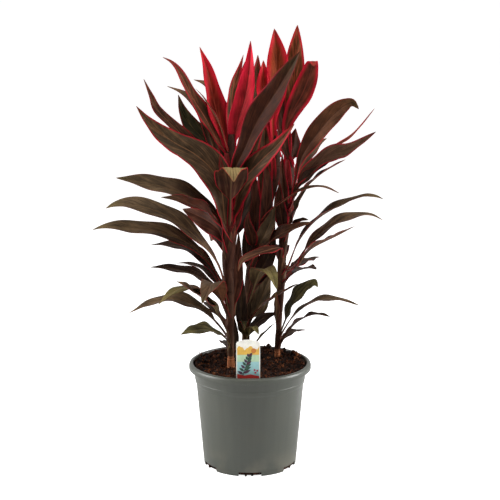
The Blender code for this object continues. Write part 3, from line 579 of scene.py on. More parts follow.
def ease(low, high, value):
    """0 below low, 1 above high, and smooth between."""
    share = min(1, max(0, (value - low) / (high - low)))
    return share * share * (3 - 2 * share)


def ring_faces(first, count):
    """The faces between a ring of count points, from the one numbered first, and the next ring."""
    pairs = [(first + i, first + (i + 1) % count) for i in range(count)]
    return [(here, beside, count + beside, count + here) for here, beside in pairs]


class Sheaf:
    """Closed strips gathered into one mesh, with what the leaf material reads at each point.

    run is how far the point is across the veins, along them, and in from the margin. habit is the
    widths of the margin's line and its blush, and how far the midrib is, in half widths of it.
    """

    def __init__(self):
        self.spots, self.faces = [], []
        self.vectors = {"run": [], "habit": []}
        self.colours = {"tone": [], "rim": [], "rib": []}

    def strip(self, sections):
        """Joins rings of samples, each (spot, run, habit, tone, rim, rib), and closes both ends."""
        first, count = len(self.spots), len(sections[0])
        for section in sections:
            for spot, run, habit, tone, rim, rib in section:
                self.spots.append(spot)
                self.vectors["run"] += run
                self.vectors["habit"] += habit
                for key, colour in (("tone", tone), ("rim", rim), ("rib", rib)):
                    self.colours[key].append(colour)
        for row in range(len(sections) - 1):
            self.faces += ring_faces(first + row * count, count)
        last = first + (len(sections) - 1) * count
        half = count // 2
        for end in (first, last):
            for i in range(half - 1):
                self.faces.append((end + i, end + i + 1, end + count - 2 - i, end + count - 1 - i))


def placed(name, data):
    """A new object of a mesh, light or camera, in the scene."""
    thing = bpy.data.objects.new(name, data)
    bpy.context.scene.collection.objects.link(thing)
    return thing


def shell(name, spots, faces, surface, colours=None, vectors=None):
    """An object from points in mm, with the colours and vectors that its material reads at each."""
    mesh = bpy.data.meshes.new(name)
    mesh.from_pydata([spot * MM for spot in spots], [], faces)
    for key, values in (vectors or {}).items():
        mesh.attributes.new(key, "FLOAT_VECTOR", "POINT").data.foreach_set("vector", values)
    for key, tones in (colours or {}).items():
        values = [value for tone in tones for value in (*tone, 1)]
        mesh.attributes.new(key, "FLOAT_COLOR", "POINT").data.foreach_set("color", values)
    shape = bmesh.new()
    shape.from_mesh(mesh)
    bmesh.ops.recalc_face_normals(shape, faces=shape.faces)
    shape.to_mesh(mesh)
    shape.free()
    mesh.shade_smooth()
    mesh.materials.append(surface)
    return placed(name, mesh)


# Leaves

def blade_half_width(share, width, widest_at):
    """Half the blade's width at a share of its length: a lance shape with a drawn-out tip."""
    bow = sin(pi * share ** widest_at) ** ROUNDNESS
    return TIP_HALF_WIDTH + width / 2 * bow * (1 - TIP_DRAWING_OUT * share)


def leaf(sheaf, seed, redness, root, points, width, roll, look, heading=None, widest_at=None,
         stalk_share=None):
    """A leaf from inside its cane to its tip; redness is how much of its red margin it shows."""
    upper, under, rim, rib, tip = (linear(code) for code in LOOKS[look][:5])
    rim_width, blush, tip_share = LOOKS[look][5:]
    path = smooth_path([root, *points])
    length = length_of(path)
    stations = int(length / FINE_SPACING)
    spacing = length / (stations - 1)
    spine = evenly(path, stations)
    away = spine[-1] - root
    petiole_share, base_spread, usual_widest = PETIOLE_SHARE, BASE_SPREAD, WIDEST_AT
    inner_share = INNER_SHARE
    if heading is not None:
        away = level(radians(heading))
        petiole_share, base_spread = UPRIGHT_PETIOLE_SHARE, UPRIGHT_BASE_SPREAD
        usual_widest, inner_share = UPRIGHT_WIDEST_AT, UPRIGHT_INNER_SHARE
    widest_at = widest_at or usual_widest
    petiole_share = stalk_share or petiole_share
    across = Vector((away.y, -away.x, 0)).normalized()
    turn = radians(roll) if away.x > 0 else -radians(roll)
    sections = []
    for number, spot in enumerate(spine):
        share = number / (stations - 1)
        stalk = min(1, share / petiole_share)
        blade_share = max(0, (share - petiole_share) / (1 - petiole_share))
        reach = max(1, round(STATION_SPACING / spacing / 2))
        behind = spot - spine[max(number - reach, 0)]
        ahead = spine[min(number + reach, stations - 1)] - spot
        along = (behind + ahead).normalized()
        bend = 2 * behind.angle(ahead) if behind.length and ahead.length else 0
        fold = FOLD * (1 - min(1, bend / FLAT_BEND))
        side = (across - along * across.dot(along)).normalized()
        side.rotate(Quaternion(along, turn * stalk))
        up = side.cross(along)
        stalk_half = BASE_HALF_WIDTH + width * base_spread * (1 - PETIOLE_NARROWING * stalk)
        blade_half = blade_half_width(blade_share, width, widest_at) if blade_share else 0
        half = max(stalk_half * (1 - blade_share), blade_half)
        stem = 1 - ease(*STALK_REACH, share / petiole_share)
        tipped = ease(1 - 2 * tip_share, 1, share)
        thick = PETIOLE_THICKNESS * (1 - PETIOLE_THINNING * share / petiole_share)
        thick = max(thick, BLADE_THICKNESS)
        rib_half = RIB_HALF_WIDTH * (1 - RIB_TAPER * blade_share)
        # Towards the cane the blade turns to the inner maroon: the leaf's own maroon with painted shade
        # from inside the bush
        inner = (1 - ease(*INNER_REACH, blade_share)) * ease(*INNER_HEIGHTS, root.z)
        tones = [face.lerp(INNER_MAROON_AND_SHADE, inner_share * inner).lerp(stalk_tone(root.z), STALK_SHARE * stem)
                 .lerp(tip, TIP_SHARE * tipped) for face in (upper, under)]
        rim_here = rim.lerp(INNER_CRIMSON, INNER_RIM_SHARE * inner)
        rim_here = rim_here.lerp(STEM_MAROON, STALK_RIM_SHARE * stem * (1 - redness))
        rim_here = rim_here.lerp(tip, TIP_RIM_SHARE * tipped)
        reddening = max(redness, INNER_REDNESS * inner)
        red_width = rim_width * (PALE_RIM + (1 - PALE_RIM) * reddening)
        relief = min(1, half / RELIEF_HALF_WIDTH)
        section = []
        for face, place in SECTION:
            u = abs(place)
            wave = sin(2 * pi * WAVES * blade_share + (1 if place > 0 else -1) * WAVE_LEAD)
            wave = wave * u ** WAVE_EDGE if blade_share else 0
            vee = (hypot(u, FOLD_ROUNDING) - FOLD_ROUNDING) / (hypot(1, FOLD_ROUNDING) - FOLD_ROUNDING)
            lift = half * (sin(fold) * vee + wave * WAVE_HEIGHT + BLADE_ARCH * sin(pi * u))
            x = place * half * cos(fold)
            near_rib = exp(-(x / rib_half) ** 2)
            edge_thin = BLADE_THICKNESS / 2 + (thick - BLADE_THICKNESS) / 2 * (1 - u * u)
            if face == 0:
                lift += edge_thin - RIB_GROOVE * near_rib * relief
            else:
                lift -= edge_thin + RIB_DEPTH * near_rib * (1 - blade_share) * relief
            slant = abs(x) - VEIN_SLANT * share * spacing * stations
            run = (slant, share * spacing * stations + seed * SEED_SPACING, half * (1 - u))
            habit = (red_width, blush * reddening, abs(x) / rib_half)
            section.append((spot + side * x + up * lift, run, habit, tones[face], rim_here, rib))
        sections.append(section)
    sheaf.strip(sections)


def sheath(sheaf, seed, redness, cane, path, floor, root, points, look):
    """The foot of a leaf, which clasps the cane below the place where the leaf leaves it."""
    _, under, rim, rib, _ = (linear(code) for code in LOOKS[look][:5])
    heading = atan2(points[0].y - root.y, points[0].x - root.x)
    low = max(root.z - SHEATH_DROP, floor)
    sections = []
    for number in range(SHEATH_STEPS + 1):
        share = number / SHEATH_STEPS
        height = low + (root.z + SHEATH_REACH - low) * share
        middle = spot_at(path, height)
        radius = radius_at(cane, height) + SHEATH_CLEARANCE + SHEATH_FLARE * share ** 2
        top_angle = SHEATH_TOP_HALF / radius
        half_angle = top_angle + (SHEATH_WRAP - top_angle) * (1 - share) ** SHEATH_NARROWING
        half = half_angle * radius
        faded = ease(*SHEATH_FADE, share)
        leafy = stalk_tone(root.z).lerp(under, SHEATH_LEAFINESS + SHEATH_LEAFINESS_GAIN * share)
        # Low down the sheath takes the cane's colour, painted shade included
        tone = core_tone(height).lerp(leafy, faded)
        edge_tone = tone.lerp(rib.lerp(rim, redness ** 3), SHEATH_EDGE_SHARE * faded)
        thick = SHEATH_THICKNESS * (SHEATH_FOOT_SHARE + (1 - SHEATH_FOOT_SHARE) * faded)
        habit = (SHEATH_RIM + SHEATH_RIM_GAIN * redness, SHEATH_BLUSH * redness, NO_EDGE)
        section = []
        for face, place in SECTION:
            turn = heading + place * half_angle
            lift = -SHEATH_CLEARANCE if face else thick * (1 - SHEATH_EDGE_THINNING * abs(place))
            spot = middle + level(turn) * (radius + lift)
            slant = place * half - SHEATH_SLANT * height
            run = (slant, height + seed * SEED_SPACING, half * (1 - abs(place)))
            section.append((spot, run, habit, tone, edge_tone, rib))
        sections.append(section)
    sheaf.strip(sections)


def core_tone(height):
    """A cane's bark colour at a height: brown with painted shade low down, dark maroon towards the crown.
    """
    return BARK_BROWN_IN_SHADE.lerp(STEM_MAROON, ease(*CORE_HEIGHTS, height))


def stalk_tone(height):
    """The colour of a stalk that leaves its cane at a height, red by the crown."""
    return STEM_MAROON.lerp(STEM_RED, ease(*STALK_HEIGHTS, height))


def back_leaves(path, lowest, highest, count, first_turn, last_turn):
    """Leaves that arch away from the front, spread by the golden share, as leaf arguments."""
    for number in range(count):
        root = spot_at(path, lowest + (highest - lowest) * number / (count - 1))
        turn = radians(first_turn + (last_turn - first_turn) * (number * GOLDEN_SHARE % 1))
        length = BACK_LENGTH * (1 + BACK_LENGTH_SPREAD * sin(2 * pi * GOLDEN_SHARE * number))
        points = [root + (level(turn) * out + Vector((0, 0, rise))) * length for out, rise in BACK_RISE]
        yield root, points, BACK_WIDTH, 0, BACK_LOOKS[number % len(BACK_LOOKS)]


def rooted(path, rows):
    """The leaves of a table, as leaf arguments, each rooted in its cane's line."""
    for height, points, *form in rows:
        yield spot_at(path, height), [in_space(*point) for point in points], *form


# Node trees

class Tree:
    """The nodes of a material or of the world, added one by one with their inputs set or linked."""

    def __init__(self, owner, shader="Principled BSDF"):
        owner.use_nodes = True
        self.owner = owner
        self.tree = owner.node_tree
        self.shader = self.tree.nodes[shader]

    def put(self, socket, value):
        if isinstance(value, bpy.types.NodeSocket):
            self.tree.links.new(value, socket)
        elif isinstance(value, Vector):
            socket.default_value = (*value, 1)
        else:
            socket.default_value = value

    def node(self, kind, *values, **named):
        """A node. The values go to its first inputs, and a name with a capital is an input's."""
        made = self.tree.nodes.new("ShaderNode" + kind)
        for socket, value in zip(made.inputs, values):
            self.put(socket, value)
        for key, value in named.items():
            if key[0].isupper():
                self.put(made.inputs[key], value)
            else:
                setattr(made, key, value)
        return made

    def add(self, kind, *values, **named):
        """A node's first output."""
        return self.node(kind, *values, **named).outputs[0]

    def math(self, operation, *values):
        return self.add("Math", *values, operation=operation)

    def times(self, a, b):
        return self.math("MULTIPLY", a, b)

    def mix(self, share, a, b, blend="MIX"):
        made = self.node("Mix", share, data_type="RGBA", blend_type=blend)
        self.put(made.inputs[6], a)
        self.put(made.inputs[7], b)
        return made.outputs[2]

    def shaded(self, body, light):
        """A colour made darker or lighter by a value."""
        return self.mix(1.0, body, self.add("CombineColor", light, light, light), "MULTIPLY")

    def ramp(self, value, low, high, start=0.0, end=1.0):
        """value from low..high to start..end, smooth and clamped."""
        return self.add("MapRange", value, low, high, start, end, interpolation_type="SMOOTHSTEP")

    def spread(self, noise, start=0.0, end=1.0):
        """A noise's usual values to start..end."""
        return self.ramp(noise, 0.3, 0.7, start, end)

    def noise(self, vector, scale, detail=2.0, roughness=0.5):
        return self.add("TexNoise", vector, Scale=scale, Detail=detail, Roughness=roughness)

    def streaks(self, across, along, detail=2.0, roughness=0.5):
        """Noise over two values, each given with its own scale."""
        return self.noise(self.add("CombineXYZ", self.times(*across), self.times(*along)), 1.0, detail,
                          roughness)

    def voronoi(self, vector, scale, output="Distance"):
        return self.node("TexVoronoi", vector, Scale=scale).outputs[output]

    def attribute(self, name, output="Vector"):
        return self.node("Attribute", attribute_name=name).outputs[output]

    def colour(self, name):
        return self.attribute(name, "Color")

    def split(self, vector):
        return self.node("SeparateXYZ", vector).outputs

    def place(self):
        """The place on the object, in its own metres."""
        return self.node("TexCoord").outputs["Object"]

    def bump(self, height, strength, distance):
        return self.add("Bump", Height=height, Strength=strength, Distance=distance)

    def finish(self, **inputs):
        for key, value in inputs.items():
            self.put(self.shader.inputs[key.replace("_", " ")], value)
        return self.owner


def material_tree(name):
    return Tree(bpy.data.materials.new(name))


def leaf_material():
    """Satin leaf: fine slanting veins, a paler midrib, and a margin line with a blush inside it."""
    tree = material_tree("leaf")
    slant, along, edge = tree.split(tree.attribute("run"))
    rim_width, blush, from_rib = tree.split(tree.attribute("habit"))
    veins = tree.streaks((slant, 1.3), (along, 0.045), 3.0, 0.65)
    broad = tree.streaks((slant, 0.22), (along, 0.013))
    patches = tree.noise(tree.place(), 45.0, 3.0)
    light = tree.math("ADD", tree.spread(veins, 0.5, 1.35), tree.spread(broad, -0.18, 0.2))
    light = tree.times(light, tree.spread(patches, 0.7, 1.2))
    streaked = tree.ramp(broad, 0.48, 0.66, 0.0, 0.34)
    body = tree.shaded(tree.mix(streaked, tree.colour("tone"), tree.colour("rib")), light)
    wander = tree.times(tree.math("SUBTRACT", veins, 0.5), blush)
    reddened = tree.ramp(tree.math("ADD", edge, wander), tree.times(blush, 0.3), blush, 1.0, 0.0)
    body = tree.mix(tree.times(reddened, 0.7), body, tree.colour("rim"))
    lined = tree.ramp(edge, tree.times(rim_width, 0.5), rim_width, 1.0, 0.0)
    body = tree.mix(lined, body, tree.shaded(tree.colour("rim"), tree.ramp(broad, 0.35, 0.65, 0.7, 1.1)))
    body = tree.mix(tree.ramp(from_rib, 0.5, 1.3, 0.75, 0.0), body, tree.colour("rib"))
    height = tree.math("ADD", veins, tree.times(patches, 0.5))
    return tree.finish(Base_Color=body, Roughness=tree.spread(veins, 0.42, 0.6), Specular_IOR_Level=0.06,
                       Normal=tree.bump(height, 0.4, 0.0006))


def plants():
    """Each plant's leafy cane and crown, in two pieces."""
    surface = leaf_material()
    seed = 0
    for name, cane, crown_height, leaves, crown, back in PLANTS:
        path = cane_path(cane)
        for part, rows in (("leafy_cane", [*rooted(path, leaves), *back_leaves(path, *back)]),
                           ("crown", rooted(path, crown))):
            sheaf = Sheaf()
            for row in rows:
                seed += 1
                redness = ease(*REDNESS_HEIGHTS, row[0].z)
                leaf(sheaf, seed, redness, *row)
                floor = FOOT_TOP if part == "leafy_cane" else crown_height - CROWN_SHEATH_DROP
                sheath(sheaf, seed, redness, cane, path, floor, *row[:2], row[4])
            core(sheaf, seed, cane, path, crown_height, part)
            piece = shell(f"{name}_{part}_fine", sheaf.spots, sheaf.faces, surface, sheaf.colours,
                          sheaf.vectors)
            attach(piece, "root")
            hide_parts(f"{name}_{part}")


def core(sheaf, seed, cane, path, crown_height, part):
    """The stretch of cane that carries the grown leaves, or the bud that carries the young ones."""
    low, high = (path[0].z, crown_height) if part == "leafy_cane" else (crown_height, path[-1].z)
    fade_start, fade_end = FOOT_TOP + FOOT_FADE[0], FOOT_TOP + FOOT_FADE[1]
    count = int((high - low) / CORE_SPACING)
    sections = []
    for number in range(count + 1):
        height = low + (high - low) * number / count
        middle = spot_at(path, height)
        ripe = 1 - ease(fade_start, fade_end, height)
        ring = sin(2 * pi * height / SCAR_SPACING) ** 3
        radius = radius_at(cane, height) + SCAR_RISE * ripe * ring
        foot = FOOT_ORANGE.lerp(FOOT_PALE, 0.5 + 0.5 * ring)
        brown = foot.lerp(core_tone(height), 1 - ripe)
        section = []
        for i in range(CORE_SIDES):
            turn = 2 * pi * i / CORE_SIDES
            ribs = CANE_RIB_RISE * (1 - ripe) * sin(CANE_RIBS * turn + height / CANE_RIB_TWIST)
            spot = middle + level(turn) * (radius + ribs)
            run = (turn * radius, height + seed, NO_EDGE)
            section.append((spot, run, BARK_HABIT, brown, brown, brown))
        sections.append(section)
    sheaf.strip(sections)


# Pot, soil and label

def wall_radius(height):
    """The outer radius of the pot's wall below its step."""
    return BASE_RADIUS + WALL_SPREAD * height


def hollow(inset):
    """The corners of the pot's inner wall drawn in by inset, upwards from the floor."""
    return [
        (wall_radius(POT_FLOOR) - POT_WALL - inset, POT_FLOOR + inset),
        (wall_radius(STEP_HEIGHT) - POT_WALL - inset, STEP_HEIGHT + STEP_THICKNESS),
        (COLLAR_FOOT[0] - POT_WALL - inset, COLLAR_FOOT[1] + STEP_THICKNESS),
        (COLLAR_TOP[0] - POT_WALL - inset, COLLAR_TOP[1]),
    ]


def turned(profile, steps):
    """The points and faces of a solid turned from a profile that starts and ends on the axis."""
    spots = [Vector((0, 0, profile[0][1]))]
    for radius, height in profile[1:-1]:
        for step in range(steps):
            turn = 2 * pi * step / steps
            spots.append(Vector((radius * cos(turn), radius * sin(turn), height)))
    spots.append(Vector((0, 0, profile[-1][1])))
    last = len(spots) - 1
    faces = []
    for i in range(steps):
        j = (i + 1) % steps
        faces += [(0, 1 + j, 1 + i), (last, last - steps + i, last - steps + j)]
        for first in range(1, last - steps, steps):
            faces.append((first + i, first + j, first + steps + j, first + steps + i))
    return spots, faces


def softened(corners, edge):
    """A profile's corners, each replaced by two points a little to its sides and one inside it."""
    flat = [Vector((radius, height)) for radius, height in corners]
    points = [flat[0]]
    for before, corner, after in zip(flat, flat[1:], flat[2:]):
        back, on = before - corner, after - corner
        start = corner + back.normalized() * min(edge, back.length / 3)
        end = corner + on.normalized() * min(edge, on.length / 3)
        points += [start, (start + 2 * corner + end) / 4, end]
    return [tuple(point) for point in [*points, flat[-1]]]


def add_box(points, spots, faces):
    """Adds a box of eight points in the order of BOX_CORNERS."""
    first = len(spots)
    ends = [tuple(first + i for i in end) for end in ((3, 2, 1, 0), (4, 5, 6, 7))]
    faces += [*ends, *ring_faces(first, 4)]
    spots += points


def pot_material():
    """Satin moulded plastic: fine grain, upright flow marks, a dusty foot and a soiled mouth."""
    tree = material_tree("pot_plastic")
    place = tree.place()
    x, y, z = tree.split(place)
    flow = tree.streaks((tree.math("ARCTAN2", y, x), 9.0), (z, 6.0), 3.0)
    grain = tree.noise(place, 900.0)
    cloud = tree.noise(place, 22.0, 4.0)
    body = tree.mix(tree.spread(flow), POT_DARK, POT_LIGHT)
    dusty = tree.times(tree.ramp(z, 0.0, DUST_TOP, 0.5, 0.06), tree.ramp(cloud, 0.4, 0.7))
    body = tree.mix(dusty, body, POT_DUST)
    specks = tree.ramp(tree.noise(place, 260.0, 1.0), 0.72, 0.78, 0.0, 0.5)
    body = tree.mix(specks, body, POT_SPECK)
    across = tree.math("SQRT", tree.math("ADD", tree.math("POWER", x, 2.0), tree.math("POWER", y, 2.0)))
    # Painted shade: the notches' cut faces, inside the wall and low down, take the soil's near-black
    # colour
    inside = tree.times(tree.ramp(across, *NOTCH_SHADE_RADII, 1.0, 0.0),
                        tree.ramp(z, *NOTCH_SHADE_HEIGHTS, 1.0, 0.0))
    body = tree.mix(inside, body, SOIL_DARK)
    flared = tree.math("SUBTRACT", across, tree.times(z, MOUTH_FLARE))
    mouth = tree.times(tree.ramp(flared, *MOUTH_RADII, 0.8, 0.0), tree.spread(cloud, 0.4, 1.0))
    body = tree.mix(mouth, body, POT_SOILED)
    height = tree.math("ADD", grain, tree.times(cloud, 1.5))
    return tree.finish(Base_Color=body, Roughness=tree.spread(cloud, 0.36, 0.5), Specular_IOR_Level=0.58,
                       Normal=tree.bump(height, 0.25, 0.0003))


def cut_notches(piece):
    """Cuts the drainage notches out of the foot of the pot."""
    spots, faces = [], []
    half = BASE_RADIUS * sin(NOTCH_HALF_ANGLE)
    for number in range(NOTCHES):
        out = level(2 * pi * number / NOTCHES - pi / 2)
        side = Vector((-out.y, out.x, 0))
        add_box([out * (BASE_RADIUS + reach * NOTCH_DEPTH) + side * half * aside
                 + Vector((0, 0, up * NOTCH_HEIGHT)) for reach, aside, up in BOX_CORNERS], spots, faces)
    cutter = shell("notches", spots, faces, piece.data.materials[0])
    cutting = piece.modifiers.new("notches", "BOOLEAN")
    cutting.operation = "DIFFERENCE"
    cutting.object = cutter
    bpy.context.view_layer.update()
    mesh = bpy.data.meshes.new_from_object(piece.evaluated_get(bpy.context.evaluated_depsgraph_get()))
    piece.modifiers.clear()
    piece.data = mesh
    bpy.data.objects.remove(cutter)


def fine_pot():
    """The pot with its rolled lip, the moulded ring on its collar, soft edges and notches."""
    lip = [(LIP_RADIUS - inward, POT_HEIGHT - down) for inward, down in LIP_SECTION]
    low, high = RING_HEIGHT - RING_WIDTH / 2, RING_HEIGHT + RING_WIDTH / 2
    slope = (COLLAR_TOP[0] - COLLAR_FOOT[0]) / (COLLAR_TOP[1] - COLLAR_FOOT[1])
    beside = COLLAR_FOOT[0] + slope * (RING_HEIGHT - COLLAR_FOOT[1])
    ring = [(beside, high), (beside + RING_RISE, RING_HEIGHT), (beside, low)]
    outside = [COLLAR_TOP, *ring, COLLAR_FOOT, (wall_radius(STEP_HEIGHT), STEP_HEIGHT)]
    wall = [(wall_radius(height), height) for height in WALL_HEIGHTS]
    corners = [(0, POT_FLOOR), *hollow(0), *lip, *outside, *wall, (BASE_RADIUS, 0), (0, 0)]
    piece = shell("pot_fine", *turned(softened(corners, POT_EDGE), POT_STEPS), pot_material())
    cut_notches(piece)
    piece.data.set_sharp_from_angle(angle=SMOOTH_ANGLE)
    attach(piece, "root")
    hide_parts("pot")


def soil_height(spot):
    """The height of the soil's face over a point: lumps, crumbs and grains, higher towards the back."""
    lump = (noise.noise(spot / LUMP_WIDTH) + LUMP_LIFT) * LUMP_HEIGHT
    crumb = noise.noise(spot / CRUMB_WIDTH) * CRUMB_HEIGHT
    grain = (0.5 - noise.voronoi(spot / GRAIN_WIDTH)[0][0]) * GRAIN_HEIGHT
    back = ease(BANK_FOOT, BANK_TOP, spot.x * cos(BANK_TURN) + spot.y * sin(BANK_TURN))
    heap = ease(*HEAP_REACH, spot.length) * ease(*HEAP_FRONT, spot.y)
    return SOIL_LEVEL + lump + crumb + grain + BANK_RISE * back + HEAP_RISE * heap * (1 - HEAP_FADE * back)


def soil_material():
    """Moist potting bark: near-black brown crumbs with russet flakes, dull and rough."""
    tree = material_tree("soil")
    place = tree.place()
    tint = tree.split(tree.voronoi(place, 420.0, "Color"))[0]
    fine = tree.noise(place, 700.0, 4.0, 0.7)
    damp = tree.noise(place, 55.0, 3.0)
    body = tree.mix(tree.ramp(tint, 0.6, 1.0, 0.0, 0.5), tree.colour("tone"), SOIL_RUSSET)
    body = tree.mix(tree.ramp(damp, 0.52, 0.66, 0.0, 0.4), body, SOIL_RUSSET)
    body = tree.shaded(body, tree.ramp(tree.noise(place, 90.0), 0.38, 0.6, 0.3, 1.25))
    body = tree.shaded(body, tree.spread(fine, 0.25, 1.4))
    height = tree.math("ADD", fine, tree.voronoi(place, 420.0))
    return tree.finish(Base_Color=body, Roughness=tree.spread(fine, 0.6, 0.95), Specular_IOR_Level=0.1,
                       Normal=tree.bump(height, 0.9, 0.001))


def add_chips(edge, spots, faces, tones):
    """Strews bark chips over the soil, out to its edge."""
    draw = Random(CHIP_SEED)
    for _ in range(CHIPS):
        reach, turn = (edge - CHIP_MARGIN) * draw.random() ** CHIP_CROWDING, draw.uniform(0, 2 * pi)
        middle = Vector((reach * cos(turn), reach * sin(turn), 0))
        middle.z = soil_height(middle) + draw.uniform(*CHIP_LIFTS)
        length = draw.uniform(*CHIP_LENGTHS) * (LONG_CHIP_STRETCH if draw.random() < LONG_CHIPS else 1)
        size = Vector((length, length * draw.uniform(*CHIP_WIDTHS),
                       length * draw.uniform(*CHIP_THICKNESSES)))
        lean = Quaternion([draw.gauss(0, 1) for _ in range(4)]).normalized()
        tones += [CHIP_TONES[draw.choice(CHIP_KINDS)]] * len(BOX_CORNERS)
        add_box([middle + lean @ (Vector((across * size.x, along * size.y, up * size.z))
                                  * draw.uniform(*CHIP_CORNERS)) for across, along, up in BOX_CORNERS],
                spots, faces)


def add_twigs(spots, faces, tones):
    """Lays square twigs that taper from start to end."""
    for start, end, half in TWIGS:
        start, end = Vector(start), Vector(end)
        side = (end - start).orthogonal().normalized()
        other = side.cross((end - start).normalized())
        tones += [CHIP_TONES[1]] * len(BOX_CORNERS)
        add_box([spot + (side * across + other * along) * half * share
                 for spot, share in ((start, 1), (end, TWIG_TAPER)) for across, along in SQUARE],
                spots, faces)


def add_clods(spots, faces, tones):
    """Puts knobbly lumps of soil by the rim and in the notches."""
    for middle, size in CLODS:
        ball = bmesh.new()
        bmesh.ops.create_icosphere(ball, subdivisions=3, radius=size)
        faces += [tuple(len(spots) + vertex.index for vertex in face.verts) for face in ball.faces]
        tones += [SOIL_DARK] * len(ball.verts)
        for vertex in ball.verts:
            knobs = noise.noise((vertex.co + Vector(middle)) / CLOD_KNOB_WIDTH) * CLOD_KNOB
            knobs += noise.noise(vertex.co) * CLOD_GRAIN
            spots.append(Vector(middle) + vertex.co * (CLOD_BODY + knobs))
        ball.free()


def fine_soil():
    """The soil that fills the pot: a crumbly face strewn with chips, twigs and clods, and plain sides."""
    side = [*reversed(hollow(SOIL_GAP))]
    edge = side.pop(0)[0]
    rings = [(edge * (number / SOIL_RINGS) ** RING_CROWDING, SOIL_LEVEL)
             for number in range(SOIL_RINGS + 1)]
    spots, faces = turned([*rings, *side, (0, POT_FLOOR + SOIL_GAP)], SOIL_STEPS)
    tones = [SOIL_DARK] * len(spots)
    for spot in spots:
        if spot.z >= SOIL_LEVEL:
            spot.z = soil_height(Vector((spot.x, spot.y, 0)))
    add_chips(edge, spots, faces, tones)
    add_twigs(spots, faces, tones)
    add_clods(spots, faces, tones)
    piece = shell("soil_fine", spots, faces, soil_material(), {"tone": tones})
    piece.data.set_sharp_from_angle(angle=SMOOTH_ANGLE)
    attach(piece, "root")
    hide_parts("soil")


def tag_material():
    """Smooth card-like plastic: ink or bare board by the colour on each point, faintly mottled."""
    tree = material_tree("tag_plastic")
    mottle = tree.noise(tree.place(), 160.0, 3.0)
    fibre = tree.noise(tree.place(), 1500.0)
    body = tree.shaded(tree.colour("tone"), tree.spread(mottle, 0.9, 1.05))
    return tree.finish(Base_Color=body, Roughness=tree.spread(mottle, 0.3, 0.42), Specular_IOR_Level=0.45,
                       Normal=tree.bump(fibre, 0.12, 0.0002))


def plate(outline, near, far, tone, spots, faces, tones):
    """Adds a flat plate of the outline's (x, z) points, from near to far in depth."""
    first, count = len(spots), len(outline)
    for depth in (near, far):
        spots += [Vector((TAG_X + x, depth, z)) for x, z in outline]
    tones += [tone] * (2 * count)
    faces.append(tuple(first + i for i in range(count)))
    faces.append(tuple(first + 2 * count - 1 - i for i in range(count)))
    for i in range(count):
        j = (i + 1) % count
        faces.append((first + j, first + i, first + count + i, first + count + j))


def disc(x, z, radius, sides):
    """The outline of a round shape of the print."""
    turns = [2 * pi * i / sides for i in range(sides)]
    return [(x + radius * cos(turn), z + radius * sin(turn)) for turn in turns]


def print_picture(made, half, front):
    """The label's print: a sun over hills, a pale sky, water, and a sprig with berries."""
    inner = half - PRINT_MARGIN

    def ink(outline, layer, tone):
        """Prints a shape; a higher layer lies over a lower one."""
        plate(outline, front - PRINT_GAP * layer, front + PRINT_DEPTH, linear(tone), *made)

    def band(low, high, layer, tone):
        ink([(-inner, low), (inner, low), (inner, high), (-inner, high)], layer, tone)

    def leaflet(x, z, lean, length, width, tone):
        """Prints a leaflet that starts at x, z and points lean degrees from +X."""
        turn = radians(lean)
        outline = []
        for number, share in enumerate(LEAFLET_STEPS):
            side = 1 if number < len(LEAFLET_STEPS) // 2 else -1
            aside = width / 2 * sin(pi * share ** LEAFLET_FULLNESS) * side
            outline.append((x + cos(turn) * share * length - sin(turn) * aside,
                            z + sin(turn) * share * length + cos(turn) * aside))
        ink(outline, 5, tone)

    band(PRINT_FOOT, SKY_TOP, 1, "9fd0d2")
    band(SKY_FOOT, SKY_TOP, 2, "bcd8b4")
    hills = [(inner * (step / HILL_STEPS * 2 - 1),
              sum((rise * sin(step * pace) for rise, pace in HILL_SWELLS), HILL_TOP))
             for step in reversed(range(HILL_STEPS + 1))]
    ink([(-inner, HILL_FOOT), (inner, HILL_FOOT), *hills], 3, "e6b64a")
    ink(disc(*SUN), 4, "c8782c")
    right, left = GROUND_SIDES
    ink([(-inner, PRINT_FOOT), (inner, PRINT_FOOT), (inner, right), *GROUND_SWELLS, (-inner, left)], 2,
        "c23a34")
    for rung in range(RUNGS):
        x, z = [foot + step * rung for foot, step in zip(SPRIG_FOOT, SPRIG_STEP)]
        for aside, up, lean, turn, length, growth, width, every, violet, green in SPRIG_SIDES:
            leaflet(x + aside, z + up, lean + turn * rung, length + growth * rung, width,
                    green if rung % every else violet)
    ink(SPRIG_STEM, 6, "2c3a28")
    for x, z in BERRIES:
        ink(disc(x, z, BERRY_RADIUS, BERRY_SIDES), 6, "b03048")


def fine_tag():
    """The label: a cream board on a spike, printed on its front."""
    half, spike = TAG_WIDTH / 2, SPIKE_WIDTH / 2
    turns = [pi * step / ARCH_STEPS for step in range(ARCH_STEPS + 1)]
    arch = [(half * cos(turn), TAG_SHOULDER + (TAG_TOP - TAG_SHOULDER) * sin(turn)) for turn in turns]
    low = TAG_FOOT - SPIKE_DEPTH
    board = [
        (0, low), (spike, low + SPIKE_POINT), (spike, TAG_FOOT), (half - TAG_CORNER, TAG_FOOT),
        (half, TAG_FOOT + TAG_CORNER), *arch, (-half, TAG_FOOT + TAG_CORNER),
        (TAG_CORNER - half, TAG_FOOT), (-spike, TAG_FOOT), (-spike, low + SPIKE_POINT),
    ]
    made = spots, faces, tones = [], [], []
    front, back = TAG_Y - TAG_THICKNESS / 2, TAG_Y + TAG_THICKNESS / 2
    plate(board, front, back, TAG_CREAM, *made)
    print_picture(made, half, front)
    piece = shell("tag_fine", spots, faces, tag_material(), {"tone": tones})
    piece.data.shade_flat()
    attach(piece, "root")
    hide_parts("plant_tag")


# View and studio

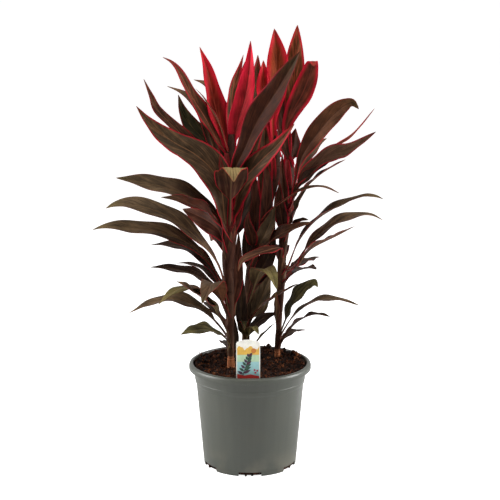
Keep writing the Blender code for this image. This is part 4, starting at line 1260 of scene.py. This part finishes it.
def camera():
    data = bpy.data.cameras.new("camera")
    data.lens = FOCAL_PIXELS / FRAME_PIXELS * SENSOR_WIDTH
    data.sensor_width = SENSOR_WIDTH
    thing = placed("camera", data)
    thing.location = Vector((0, -VIEW_DISTANCE, VIEW_HEIGHT)) * MM
    thing.rotation_euler = (pi / 2 - atan((VIEW_HEIGHT - AIM_HEIGHT) / VIEW_DISTANCE), 0, 0)
    bpy.context.scene.camera = thing


def surround():
    """White to the camera and in reflections, and otherwise a faint light."""
    bpy.context.scene.view_settings.view_transform = "Standard"
    world = bpy.data.worlds.new("surround")
    bpy.context.scene.world = world
    tree = Tree(world, "Background")
    rays = tree.node("LightPath").outputs
    seen = tree.times(rays["Is Camera Ray"], 1 - SURROUND_LIGHT)
    mirrored = tree.times(rays["Is Glossy Ray"], SURROUND_SHEEN)
    strength = tree.math("ADD", tree.math("ADD", seen, SURROUND_LIGHT), mirrored)
    tree.finish(Color=Vector((1, 1, 1)), Strength=strength)


def lights():
    """Soft lights at both sides and above."""
    for name, (place, aim, size, power) in LIGHTS.items():
        data = bpy.data.lights.new(name, "AREA")
        data.shape = "RECTANGLE"
        data.size, data.size_y = size
        data.energy = power
        thing = placed(name, data)
        thing.location = place
        thing.rotation_euler = (Vector(aim) - Vector(place)).to_track_quat("-Z", "Y").to_euler()


def white_floor():
    """A wide floor that glows white to the camera and a little to everything else."""
    mesh = bpy.data.meshes.new("floor")
    corners = [(FLOOR_HALF * across, FLOOR_HALF * along, 0) for across, along in SQUARE]
    mesh.from_pydata(corners, [], [(0, 1, 2, 3)])
    floor = placed("floor", mesh)
    tree = material_tree("floor_white")
    glow = tree.ramp(tree.add("LightPath"), 0.0, 1.0, FLOOR_BOUNCE, FLOOR_GLOW)
    mesh.materials.append(tree.finish(Base_Color=Vector((0.8, 0.8, 0.8)), Roughness=0.9,
                                      Emission_Color=Vector((1, 1, 1)), Emission_Strength=glow))
    floor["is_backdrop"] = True


camera()
surround()
lights()
white_floor()
fine_pot()
fine_soil()
fine_tag()
plants()

new_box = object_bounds()
[[list(corner) for corner in box] for box in (cad_box, new_box)]
